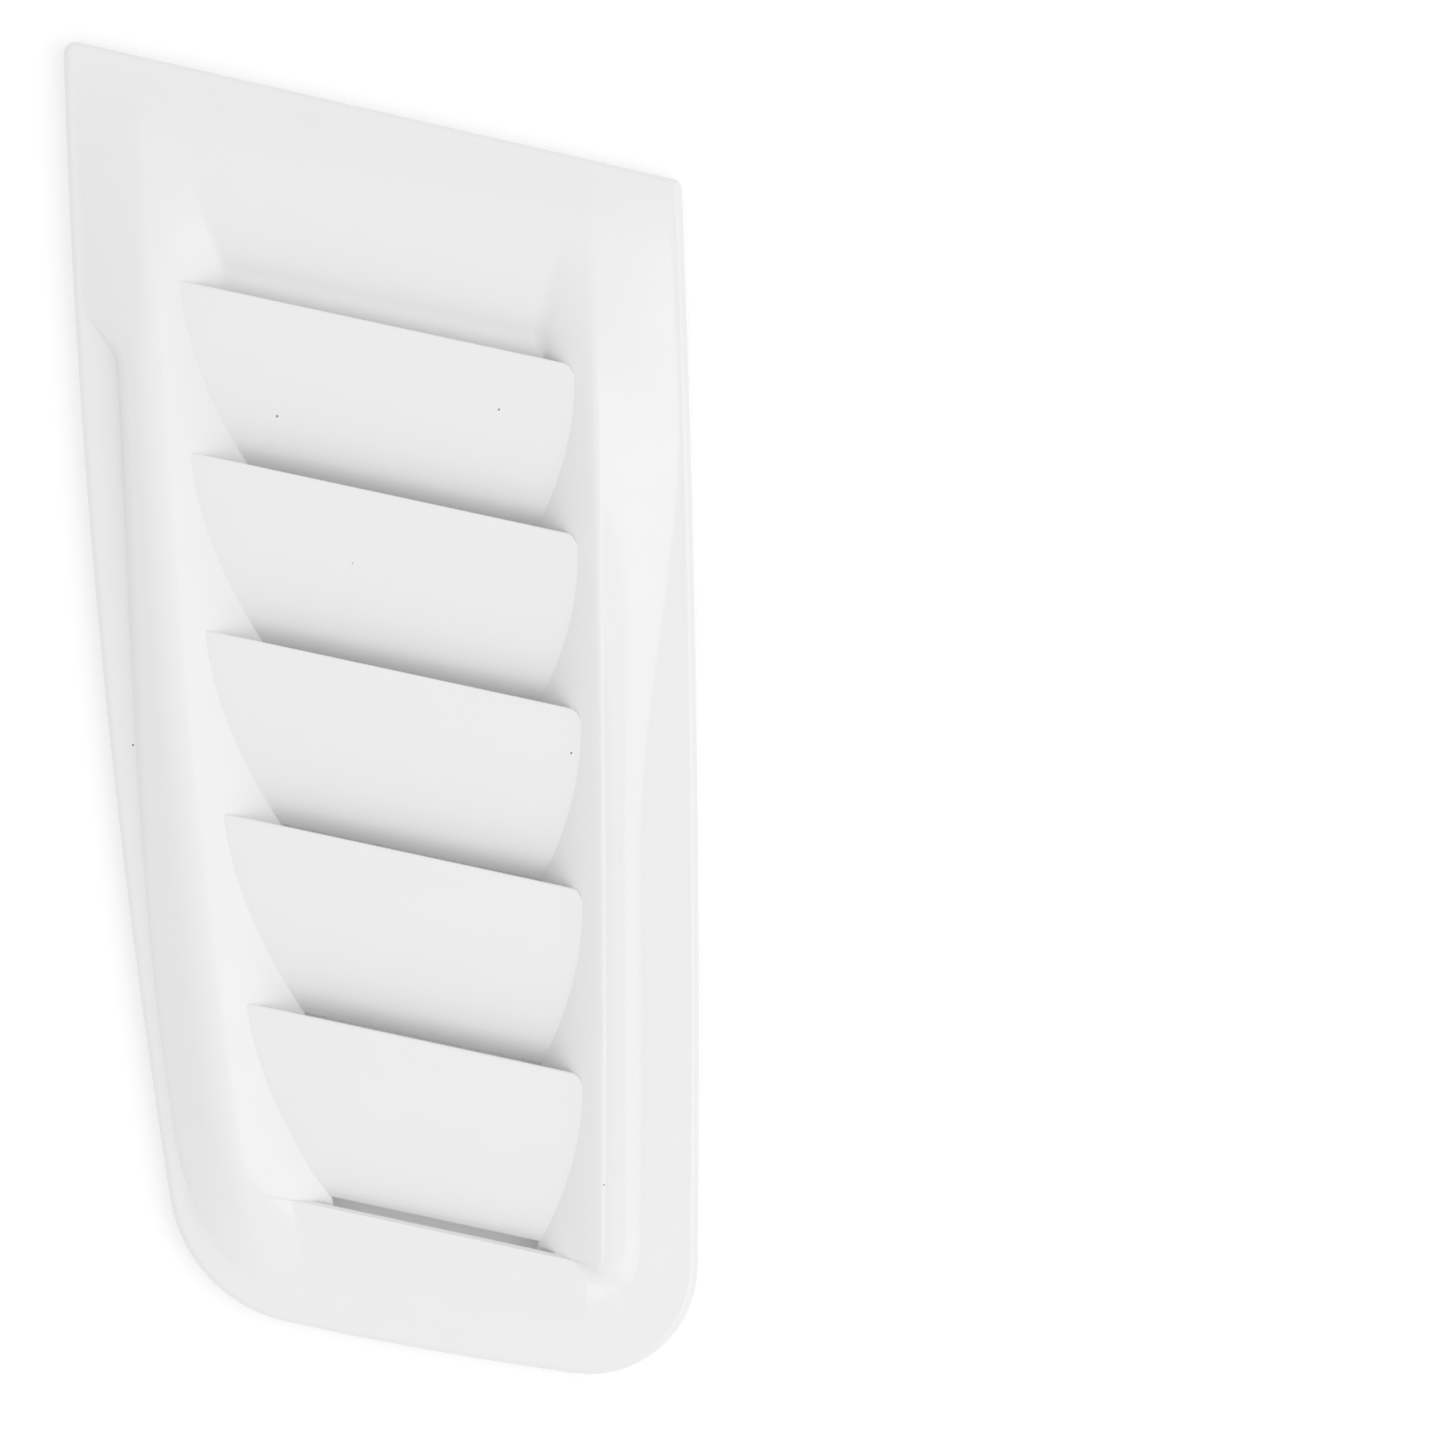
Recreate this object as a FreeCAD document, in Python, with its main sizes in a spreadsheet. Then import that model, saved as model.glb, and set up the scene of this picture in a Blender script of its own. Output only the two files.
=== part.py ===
"""Left bonnet vent: one moulded panel with six rear-facing louvres.

Millimetres. +X is the car's right, +Y the rear edge of the panel, +Z up and out of the bonnet.
The origin is under the middle of the panel, on the plane that its rim stands on.

The louvres and the profiles over them are swept by one angle, which turns to the end edges' own
towards the rear and the front. A station is the place along the panel where a swept line crosses
the middle line X = 0.
"""
import FreeCAD, Part
import math
import os

import Sketcher
from FreeCAD import Vector

os.makedirs("parts", exist_ok=True)
doc = FreeCAD.newDocument("bonnet_vent")

# Driving dimensions: name, value in millimetres or degrees, meaning
SIZES = [
    ("rear_left_x", 97.5, "left end of the rear edge, from the middle line"),
    ("rear_left_y", 205.2, "left end of the rear edge, towards the rear"),
    ("rear_right_x", 92.0, "right end of the rear edge, from the middle line"),
    ("rear_right_y", 161.6, "right end of the rear edge, towards the rear"),
    ("front_left_x", 59.7, "left end of the front edge, from the middle line"),
    ("front_left_y", 181.0, "left end of the front edge, towards the front"),
    ("front_right_x", 96.4, "right end of the front edge, from the middle line"),
    ("front_right_y", 208.5, "right end of the front edge, towards the front"),
    ("left_bow_radius", 2800.0, "radius that the left edge bows to"),
    ("right_bow_radius", 6500.0, "radius that the right edge bows to"),
    ("front_bow_radius", 1150.0, "radius that the front edge bows to"),
    ("rear_left_corner", 3.7, "corner radius"),
    ("rear_right_corner", 3.0, "corner radius"),
    ("front_left_corner", 46.0, "corner radius"),
    ("front_right_corner", 33.0, "corner radius"),
    ("sweep_angle", 12.13, "sweep of the louvres and of the profiles over them, in degrees"),
    ("wall", 2.6, "wall of the panel"),
    ("slat_wall", 2.4, "wall of a slat"),
    ("rim_height", 9.0, "height of the turned-down rim"),
    ("edge_round", 2.5, "rounding of the outer edge"),
    ("rear_field_height", 15.6, "height at the front border of the rear slope"),
    ("rear_slope_length", 21.0, "length of the slope from the rear edge to the field"),
    ("rear_lip_height", 16.0, "height of the rearmost slat edge"),
    ("front_lip_height", 18.6, "height that the line of slat edges has at the front lip"),
    ("ridge_rise", 3.8, "rise of the side ridges above the slat edges"),
    ("slat_drop", 10.0, "drop from a slat edge to the floor of the slat behind it"),
    ("slat_flat_share", 0.48, "flat share of a slat, before it curves down"),
    ("lip_round", 0.8, "rounding of a slat edge"),
    ("first_lip_station", 117.1, "station of the rearmost slat edge"),
    ("first_pitch", 51.6, "length of the rearmost full slat"),
    ("pitch_growth", 1.5, "growth of the length from each slat to the next"),
    ("open_slot", 3.0, "width of the foremost slot, seen from above"),
    ("apron_rise", 5.0, "height of the front lip above the floor of the last slat"),
    ("apron_length", 17.0, "length of the slope in front of the last slot"),
    ("strip_rear_width", 12.6, "width of the left flange strip at its rear end"),
    ("strip_front_width", 4.8, "width of the left flange strip at the front"),
    ("left_crest_inset", 24.5, "left ridge, from the left edge"),
    ("left_floor_inset", 50.0, "left side of the slat floors, from the left edge"),
    ("right_crest_inset", 28.0, "right ridge, from the right edge"),
    ("right_floor_inset", 47.5, "right side of the slat floors, from the right edge"),
    ("right_foot_inset", 17.0, "foot of the right ridge, from the right edge"),
    ("left_fade_length", 62.0, "length over which the left ridge sinks into the front flange"),
    ("right_nose_length", 19.0, "length over which the right ridge drops to the front flange"),
]
LOUVRES = 6

sheet = doc.addObject("Spreadsheet::Sheet", "sizes")
sheet.set("A1", "name")
sheet.set("B1", "value")
sheet.set("C1", "meaning")
for row, (alias, value, meaning) in enumerate(SIZES, start=2):
    sheet.set(f"A{row}", alias)
    sheet.set(f"B{row}", str(value))
    sheet.set(f"C{row}", meaning)
    sheet.setAlias(f"B{row}", alias)
doc.recompute()


def size(alias):
    """The value of one named cell."""
    return float(sheet.get(alias))


WALL = size("wall")
SWEEP = math.tan(math.radians(size("sweep_angle")))
RIM = size("rim_height")
DROP = size("slat_drop")


# The outline of the panel

CORNERS = {
    "rear_left": Vector(-size("rear_left_x"), size("rear_left_y"), 0),
    "rear_right": Vector(size("rear_right_x"), size("rear_right_y"), 0),
    "front_right": Vector(size("front_right_x"), -size("front_right_y"), 0),
    "front_left": Vector(-size("front_left_x"), -size("front_left_y"), 0),
}


class Side:
    """One side of the outline, gone round anticlockwise; bowed outwards if it has a radius."""

    def __init__(self, name, start, end, radius=None):
        self.name = name
        self.start = CORNERS[start]
        self.end = CORNERS[end]
        self.radius = radius
        chord = self.end - self.start
        self.inward = Vector(-chord.y, chord.x, 0).normalize()
        if radius:
            reach = math.sqrt(radius ** 2 - (chord.Length / 2) ** 2)
            self.centre = (self.start + self.end) * 0.5 + self.inward * reach

    def inset(self, spot, distance):
        """The nearest spot that lies a distance inside this side."""
        if self.radius:
            away = spot - self.centre
            return self.centre + away * ((self.radius - distance) / away.Length)
        return spot + self.inward * (distance - (spot - self.start).dot(self.inward))


RIGHT = Side("right", "front_right", "rear_right", size("right_bow_radius"))
REAR_SIDE = Side("rear", "rear_right", "rear_left")
LEFT = Side("left", "rear_left", "front_left", size("left_bow_radius"))
FRONT_SIDE = Side("front", "front_left", "front_right", size("front_bow_radius"))
SIDES = [RIGHT, REAR_SIDE, LEFT, FRONT_SIDE]
CORNER_NAMES = ["front_right", "rear_right", "rear_left", "front_left"]
SMALLEST_ROUND = 0.3
SETTLING = 60


def arc_edge(centre, radius, start, end):
    """An arc from start to end, anticlockwise."""
    first = math.atan2(start.y - centre.y, start.x - centre.x)
    last = math.atan2(end.y - centre.y, end.x - centre.x)
    if last < first:
        last += 2 * math.pi
    return Part.ArcOfCircle(Part.Circle(centre, Vector(0, 0, 1), radius), first, last)


def outline_curves(depth):
    """The outline, set in by depth: each corner's rounding, then the side that leaves it."""
    roundings = []
    for name, before, after in zip(CORNER_NAMES, SIDES[-1:] + SIDES[:-1], SIDES):
        reach = max(size(f"{name}_corner"), depth + SMALLEST_ROUND)
        centre = after.start
        for _ in range(SETTLING):
            centre = after.inset(before.inset(centre, reach), reach)
        roundings.append((centre, reach - depth, before.inset(centre, depth),
                          after.inset(centre, depth)))
    curves = []
    for side, here, ahead in zip(SIDES, roundings, roundings[1:] + roundings[:1]):
        centre, radius, start, end = here
        curves.append(arc_edge(centre, radius, start, end))
        if side.radius:
            curves.append(arc_edge(side.centre, side.radius - depth, end, ahead[2]))
        else:
            curves.append(Part.LineSegment(end, ahead[2]))
    return curves


def side_x(side, sign, station):
    """X where the swept line of a station meets the left or right side, sign being -1 or 1."""
    x = side.start.x
    for _ in range(SETTLING):
        y = station - fan(station) * x
        x = side.centre.x + sign * math.sqrt(side.radius ** 2 - (y - side.centre.y) ** 2)
    return x


def left_x(station, inset=0.0):
    return side_x(LEFT, -1, station) + inset


def right_x(station, inset=0.0):
    return side_x(RIGHT, 1, station) - inset


def at(x, station, z):
    """A point on the swept line of a station."""
    return Vector(x, station - fan(station) * x, z)


def edge_line(side):
    """Sweep of an end edge, and its station on the middle line."""
    rise = side.end - side.start
    return -rise.y / rise.x, side.start.y - rise.y / rise.x * side.start.x


# Landmarks along the panel, as stations

REAR_SWEEP, REAR = edge_line(REAR_SIDE)
FRONT_SWEEP, FRONT = edge_line(FRONT_SIDE)

# Flat left between the rounded edge and the feet of the raised field at the rear
FOOT_GAP = 0.6
REAR_FOOT = REAR - size("edge_round") - FOOT_GAP
FIELD = REAR - size("rear_slope_length")
FIRST_LIP = size("first_lip_station")


def lip_station(number):
    """Station of a slat edge, 0 being the rearmost."""
    growth = size("pitch_growth") * number * (number - 1) / 2
    return FIRST_LIP - number * size("first_pitch") - growth


FRONT_LIP = lip_station(LOUVRES - 1)
APRON_END = FRONT_LIP - size("apron_length")


def fan(station):
    """Sweep of a profile: the louvres' over the field, turning to that of the end edges."""
    over_field = mix(SWEEP, REAR_SWEEP, smooth(FIELD, REAR, station))
    return mix(FRONT_SWEEP, over_field, smooth(FRONT, APRON_END, station))


# Heights along the panel

def mix(low, high, share):
    return low + (high - low) * share


def smooth(start, end, station):
    """0 at start and before it, 1 at end and past it, with a smooth S between them."""
    share = (station - start) / (end - start)
    share = min(max(share, 0.0), 1.0)
    return share * share * (3 - 2 * share)


def lower_of(first, second, rounding):
    """The lower of two heights, with the corner between them rounded."""
    half_gap = (first - second) / 2
    return (first + second) / 2 - math.sqrt(half_gap ** 2 + rounding ** 2)


def lip_height(station):
    share = (FIRST_LIP - station) / (FIRST_LIP - FRONT_LIP)
    return mix(size("rear_lip_height"), size("front_lip_height"), share)


SOFT_CORNER = 0.5
SUNK = RIM - 3.0
LEFT_FADE_AHEAD = 0.68
RIGHT_NOSE_AHEAD = 0.6


def ridge_height(station):
    """Height of the field's border: rear slope, rising rear part, then level with the slats."""
    rear_slope = (size("rear_field_height") - RIM) / (REAR_FOOT - FIELD)
    slope = RIM + rear_slope * (REAR_FOOT - station)
    full = lip_height(FIRST_LIP) + size("ridge_rise")
    rising = mix(size("rear_field_height"), full, (FIELD - station) / (FIELD - FIRST_LIP))
    level = lip_height(station) + size("ridge_rise")
    return lower_of(lower_of(slope, rising, SOFT_CORNER), level, SOFT_CORNER)


def left_kept(station):
    """Share of the left ridge that is left at a station, as it sinks into the front flange."""
    end = FRONT_LIP - LEFT_FADE_AHEAD * size("left_fade_length")
    return smooth(end, end + size("left_fade_length"), station)


def right_kept(station):
    """Share of the right ridge that is left at a station, as it drops to the front flange."""
    end = FRONT_LIP - RIGHT_NOSE_AHEAD * size("right_nose_length")
    return smooth(end, end + size("right_nose_length"), station)


def floor_height(station):
    """Height of the slat floors where each passes under the next slat edge."""
    deep = lip_height(station) - DROP
    first_floor = lip_height(FIRST_LIP) - DROP
    border = size("rear_field_height")
    ramp = mix(border, first_floor, (FIELD - station) / (FIELD - FIRST_LIP))
    sunk = -lower_of(-ramp, -deep, SOFT_CORNER)
    behind = lower_of(ridge_height(station), sunk, SOFT_CORNER / 2)
    return mix(SUNK, behind, smooth(APRON_END, FRONT_LIP, station))


# One profile across the panel

# Widths of the flats that run from the ridges' crests into the inner walls, and of the rounded
# shoulder outside the left crest at the rear and further forward
CREST_FLAT = 6.5
RIDGE_FLAT = 1.5 * WALL
SHOULDER_REAR = 3.5
SHOULDER_FRONT = 8.0
WALL_DRAFT = 0.8
FOOT_RISE = 1.5
FOOT_OVERRUN = 1.5
FLOOR_OVERRUN = 4.0
OUTSIDE = 6.0

# Where the side walls change, in pitches forward of the rearmost slat edge
STRIP_STARTS = 0.25
STRIP_CLEAR = 0.58
STRIP_NARROWS = 0.45
STRIP_NARROWEST = 4.8
STEP_STARTS = 0.06
STEP_FULL = 2.87


def forward(pitches):
    """Station at a number of pitches forward of the rearmost slat edge."""
    return FIRST_LIP - pitches * size("first_pitch")


def curve_share(start, control, end, target):
    """Share along a quadratic curve where its first coordinate reaches the target."""
    square = start - 2 * control + end
    linear = 2 * (control - start)
    constant = start - target
    root = math.sqrt(linear ** 2 - 4 * square * constant)
    return (root - linear) / (2 * square)


def floor_end_height(crest_inset, flat, floor_inset, crest, floor):
    """Height where an inner wall ends, so that it passes the floor at its own inset."""
    share = curve_share(crest_inset, crest_inset + flat, floor_inset + FLOOR_OVERRUN, floor_inset)
    return crest - (crest - floor) / share ** 2


def profile_points(station, depth):
    """Control points of the raised field's upper face across one station, left to right.

    Outside the ridges' feet it runs on downwards, below the flange. An inner face, set in by
    depth, starts to fall earlier than the face above it, so that the wall keeps its thickness
    where the ridges end.
    """
    left_share = left_kept(station - depth / 2)
    right_share = right_kept(station - depth / 2)
    left_base = mix(SUNK, RIM, left_share)
    right_base = mix(SUNK, RIM, right_share)
    crest = mix(SUNK, ridge_height(station), left_share)
    crease = mix(SUNK, ridge_height(station), right_share)
    floor = floor_height(station)

    crest_inset = size("left_crest_inset")
    narrow = smooth(forward(STRIP_NARROWEST), forward(STRIP_NARROWS), station)
    strip = mix(size("strip_front_width"), size("strip_rear_width"), narrow)
    stepped = smooth(forward(STRIP_CLEAR), forward(STRIP_STARTS), station)
    left_foot = mix(strip, size("edge_round") + FOOT_GAP, stepped)
    shoulder = crest_inset - mix(SHOULDER_FRONT, SHOULDER_REAR, stepped)
    rise = max(crest - left_base, 0.0) / (shoulder - left_foot)
    left_outside = left_base - rise * (left_foot + OUTSIDE)

    right_inset = size("right_crest_inset")
    steep = smooth(forward(STEP_FULL), forward(STEP_STARTS), station)
    right_foot = mix(size("right_foot_inset"), size("edge_round") + FOOT_GAP, steep)
    wall_inset = mix(right_inset - WALL_DRAFT, (right_inset + right_foot) / 2, steep)
    wall_height = mix(right_base + FOOT_RISE, (crease + right_base) / 2, steep)
    fall = max(wall_height - right_base, 0.0) / (wall_inset - right_foot)
    foot_end = right_foot - FOOT_OVERRUN
    right_outside = right_base - fall * (right_foot + OUTSIDE)

    left_floor = size("left_floor_inset")
    right_floor = size("right_floor_inset")
    left_end = floor_end_height(crest_inset, CREST_FLAT, left_floor, crest, floor)
    right_end = floor_end_height(right_inset, RIDGE_FLAT, right_floor, crease, floor)
    return [
        (left_x(station, -OUTSIDE), left_outside),
        (left_x(station, left_foot), left_base),
        (left_x(station, shoulder), crest),
        (left_x(station, crest_inset), crest),
        (left_x(station, crest_inset + CREST_FLAT), crest),
        (left_x(station, left_floor + FLOOR_OVERRUN), left_end),
        (right_x(station, right_floor + FLOOR_OVERRUN), right_end),
        (right_x(station, right_inset + RIDGE_FLAT), crease),
        (right_x(station, right_inset), crease),
        (right_x(station, wall_inset), wall_height),
        (right_x(station, foot_end), right_base - fall * FOOT_OVERRUN),
        (right_x(station, -OUTSIDE), right_outside),
    ]


# First and last control point of each run of the profile: left foot, left shoulder, left inner
# wall, floor, right inner wall, right wall, right foot, and the three that close it
PROFILE_RUNS = [(0, 1), (1, 3), (3, 5), (5, 6), (6, 8), (8, 10), (10, 11),
                (11, 12), (12, 13), (13, 14)]
STRAIGHT_RUNS = [(first, first + 1) for first in range(PROFILE_RUNS[-1][-1])]
PARALLEL = 1e-4
BEND_REACH = 0.58


def lowered(points, depth):
    """The same profile set in by a wall, square to each of its runs."""
    runs = []
    for (x0, z0), (x1, z1) in zip(points, points[1:]):
        length = math.hypot(x1 - x0, z1 - z0)
        along = ((x1 - x0) / length, (z1 - z0) / length)
        runs.append(((x0 + along[1] * depth, z0 - along[0] * depth), along))
    result = [runs[0][0]]
    for before, after in zip(runs, runs[1:]):
        (ax, az), (ux, uz) = before
        (bx, bz), (vx, vz) = after
        turn = ux * vz - uz * vx
        reach = ((bx - ax) * vz - (bz - az) * vx) / turn if abs(turn) > PARALLEL else None
        result.append((bx, bz) if reach is None else (ax + ux * reach, az + uz * reach))
    (bx, bz), (vx, vz) = runs[-1]
    last = math.dist(points[-2], points[-1])
    result.append((bx + vx * last, bz + vz * last))
    return result


def straightened(points):
    """The same profile with two straight lines in place of each curve, for faces below the skin."""
    result = list(points)
    for first, last in PROFILE_RUNS:
        if last - first == 2:
            (x0, z0), (x1, z1), (x2, z2) = points[first:last + 1]
            middle = ((x0 + x2) / 2, (z0 + z2) / 2)
            result[first + 1] = (mix(middle[0], x1, BEND_REACH), mix(middle[1], z1, BEND_REACH))
    return result


# Stations of the profiles: closer together where the panel's heights change

REAR_MARGIN = 22.0
FRONT_MARGIN = 22.0
TALL_REACH = 20.0
BORDER = 8.0


def spaced(start, end, step):
    """Evenly spaced stations from start up to, and without, the end."""
    count = max(1, round(abs(end - start) / step))
    return [mix(start, end, number / count) for number in range(count)]


LOFT_FRONT = FRONT - FRONT_MARGIN
STATIONS = (
    spaced(REAR + REAR_MARGIN, FIELD + BORDER, 8.0)
    + spaced(FIELD + BORDER, FIELD - BORDER, 2.5)
    + spaced(FIELD - BORDER, forward(1.2), 8.0)
    + spaced(forward(1.2), FRONT_LIP + TALL_REACH, 20.0)
    + spaced(FRONT_LIP + TALL_REACH, APRON_END, 5.0)
    + spaced(APRON_END, LOFT_FRONT, 9.0)
    + [LOFT_FRONT]
)
PARAMETERS = [STATIONS[0] - station for station in STATIONS]


# Shapes that follow the profiles

BELOW = -30.0
ABOVE = 60.0
SLAT_SPAN = 400.0


def new_feature(name, shape):
    item = doc.addObject("Part::Feature", name)
    item.Shape = shape
    return item


def combined(kind, name, base, tool):
    """A boolean of two objects."""
    item = doc.addObject(kind, name)
    item.Base = base
    item.Tool = tool
    doc.recompute()
    return item


def track(points):
    """A smooth line along the panel through one control point of every profile."""
    curve = Part.BSplineCurve()
    curve.interpolate(Points=points, Parameters=PARAMETERS)
    return curve


def strip(tracks):
    """The face that has these tracks as the control lines across its width."""
    across = len(tracks) - 1
    surface = Part.BSplineSurface()
    surface.buildFromPolesMultsKnots(
        [curve.getPoles() for curve in tracks],
        [across + 1, across + 1], tracks[0].getMultiplicities(),
        [0.0, 1.0], tracks[0].getKnots(),
        False, False, across, tracks[0].Degree)
    return surface.toShape()


def profile_solid(name, depth, closing_height):
    """The solid between the profiles, set in by depth, and a level above or below them."""
    runs = STRAIGHT_RUNS if depth else PROFILE_RUNS
    rows = []
    for station in STATIONS:
        points = lowered(profile_points(station, depth), depth)
        if depth:
            points = straightened(points)
        row = [at(x, station, z) for x, z in points]
        row.append(Vector(row[-1].x, row[-1].y, closing_height))
        row.append(Vector(row[0].x, row[0].y, closing_height))
        rows.append(row + row[:1])
    tracks = [track(list(points)) for points in zip(*rows)]
    strips = [tracks[first:last + 1] for first, last in runs]
    faces = [strip(group) for group in strips]
    for end in (0, -1):
        ring = []
        for group in strips:
            edge = Part.BezierCurve()
            edge.setPoles([curve.getPoles()[end] for curve in group])
            ring.append(edge.toShape())
        faces.append(Part.Face(Part.Wire(ring)))
    shell = Part.makeShell(faces)
    shell.sewShape()
    solid = Part.makeSolid(shell)
    if solid.Volume < 0:
        solid.reverse()
    return new_feature(name, solid)


def swept_prism(name, left_inset, right_inset, rear, front):
    """An upright prism between two lines along the sides and two swept stations."""
    middle = (rear + front) / 2
    left = [at(left_x(spot, left_inset), spot, BELOW) for spot in (rear, middle, front)]
    right = [at(right_x(spot, right_inset), spot, BELOW) for spot in (front, middle, rear)]
    wire = Part.Wire([
        Part.Arc(*left).toShape(),
        Part.makeLine(left[-1], right[0]),
        Part.Arc(*right).toShape(),
        Part.makeLine(right[-1], left[0]),
    ])
    return new_feature(name, Part.Face(wire).extrude(Vector(0, 0, ABOVE - BELOW)))


def outline_prism(name, inset, top):
    """An upright prism inside the outline, from well below the panel to a level."""
    wire = Part.Wire([curve.toShape() for curve in outline_curves(inset)])
    wire.translate(Vector(0, 0, BELOW))
    return new_feature(name, Part.Face(wire).extrude(Vector(0, 0, top - BELOW)))


# Sketches

START, END, CENTRE = 1, 2, 3
ORIGIN = (-1, 1)


def new_sketch(body, name, role):
    plane = next(item for item in body.Origin.OriginFeatures if item.Role == role)
    sketch = body.newObject("Sketcher::SketchObject", name)
    sketch.AttachmentSupport = [(plane, "")]
    sketch.MapMode = "FlatFace"
    return sketch


def bind(sketch, expression, value, kind, *where):
    """A dimension of a sketch that is bound to the sheet."""
    index = sketch.addConstraint(Sketcher.Constraint(kind, *where, value))
    sketch.setExpression(f"Constraints[{index}]", expression)


def hold(sketch, curve, end, value, kind):
    """A place along one axis that is worked out from the sheet, for one end of a curve."""
    sketch.addConstraint(Sketcher.Constraint(kind, *ORIGIN, curve, end, value))


# The rim: the outline, padded to the flange, with its upper edge rounded

def outline_sketch(body):
    """The outline: eight tangent curves, held by the four corners that their sides would meet in."""
    sketch = new_sketch(body, "outline", "XY_Plane")
    curves = [sketch.addGeometry(curve) for curve in outline_curves(0.0)]
    for before, after in zip(curves, curves[1:] + curves[:1]):
        sketch.addConstraint(Sketcher.Constraint("Tangent", before, END, after, START))
    for number, name in enumerate(CORNER_NAMES):
        rounding, after = curves[2 * number], curves[2 * number + 1]
        before = curves[2 * number - 1]
        spot = sketch.addGeometry(Part.Point(CORNERS[name]), True)
        sketch.addConstraint(Sketcher.Constraint("PointOnObject", spot, START, before))
        sketch.addConstraint(Sketcher.Constraint("PointOnObject", spot, START, after))
        ends = [ORIGIN, (spot, START)]
        across = ends[::-1] if name.endswith("left") else ends
        along = ends[::-1] if name.startswith("front") else ends
        bind(sketch, f"sizes.{name}_x", size(f"{name}_x"), "DistanceX", *across[0], *across[1])
        bind(sketch, f"sizes.{name}_y", size(f"{name}_y"), "DistanceY", *along[0], *along[1])
        corner = size(f"{name}_corner")
        bind(sketch, f"sizes.{name}_corner", corner, "Radius", rounding)
        side = SIDES[number]
        if side.radius:
            bind(sketch, f"sizes.{side.name}_bow_radius", side.radius, "Radius", after)
    return sketch


def rim_body():
    body = doc.addObject("PartDesign::Body", "rim")
    pad = body.newObject("PartDesign::Pad", "rim_pad")
    pad.Profile = outline_sketch(body)
    pad.setExpression("Length", "sizes.rim_height")
    doc.recompute()
    rounding = body.newObject("PartDesign::Fillet", "rim_rounding")
    rounding.Base = (pad, [
        f"Edge{number}" for number, edge in enumerate(pad.Shape.Edges, start=1)
        if edge.BoundBox.ZMin > RIM / 2])
    rounding.setExpression("Radius", "sizes.edge_round")
    doc.recompute()
    body.Tip = rounding
    return body


# The tray: the raised field on the rim, both hollow underneath

BURIED = 0.64 * size("edge_round")
FIELD_LAP = 5.0
LEFT_LAP = 20.0
RIGHT_LAP = 23.0

rim = rim_body()
rim_hole = swept_prism("rim_hole", LEFT_LAP, RIGHT_LAP, FIELD + FIELD_LAP, FRONT_LIP - FIELD_LAP)
flange = combined("Part::Cut", "flange", rim, rim_hole)
outer_faces = profile_solid("outer_faces", 0.0, BELOW)
field_stock = outline_prism("field_stock", BURIED, ABOVE)
field_cut = combined("Part::Common", "field_cut", outer_faces, field_stock)
base_level = doc.addObject("Part::Box", "base_level")
base_level.Length = base_level.Width = 2 * SLAT_SPAN
base_level.Height = ABOVE
base_level.Placement.Base = Vector(-SLAT_SPAN, -SLAT_SPAN, 0)
raised_field = combined("Part::Common", "raised_field", field_cut, base_level)
outer_form = combined("Part::Fuse", "outer_form", flange, raised_field)

inner_faces = profile_solid("inner_faces", WALL, BELOW)
inner_stock = outline_prism("inner_stock", BURIED + WALL, ABOVE)
inner_field = combined("Part::Common", "inner_field", inner_faces, inner_stock)
inner_rim = outline_prism("inner_rim", WALL, RIM - WALL)
hollow = combined("Part::Fuse", "hollow", inner_rim, inner_field)
shell = combined("Part::Cut", "shell", outer_form, hollow)

# The window that the slats fill

WINDOW_OVERRUN = 1.0
WINDOW_REAR = FIELD - 3.0
APRON_LAP = 5.0

window = swept_prism("window", size("left_floor_inset") + WINDOW_OVERRUN,
                     size("right_floor_inset") + WINDOW_OVERRUN,
                     WINDOW_REAR, APRON_END + APRON_LAP)
tray = combined("Part::Cut", "tray", shell, window)


# The slats: a section square to the sweep, padded from side to side

CROSS = math.cos(math.radians(size("sweep_angle")))


def swept_body(name):
    """A body turned by the sweep, so that its YZ plane is square to the slats."""
    body = doc.addObject("PartDesign::Body", name)
    body.Placement.Rotation = FreeCAD.Rotation(Vector(0, 0, 1), -size("sweep_angle"))
    return body


def swept_pad(body, sketch):
    pad = body.newObject("PartDesign::Pad", f"{body.Name}_pad")
    pad.Profile = sketch
    pad.SideType = "Symmetric"
    pad.Length = SLAT_SPAN
    doc.recompute()
    return body


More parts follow.
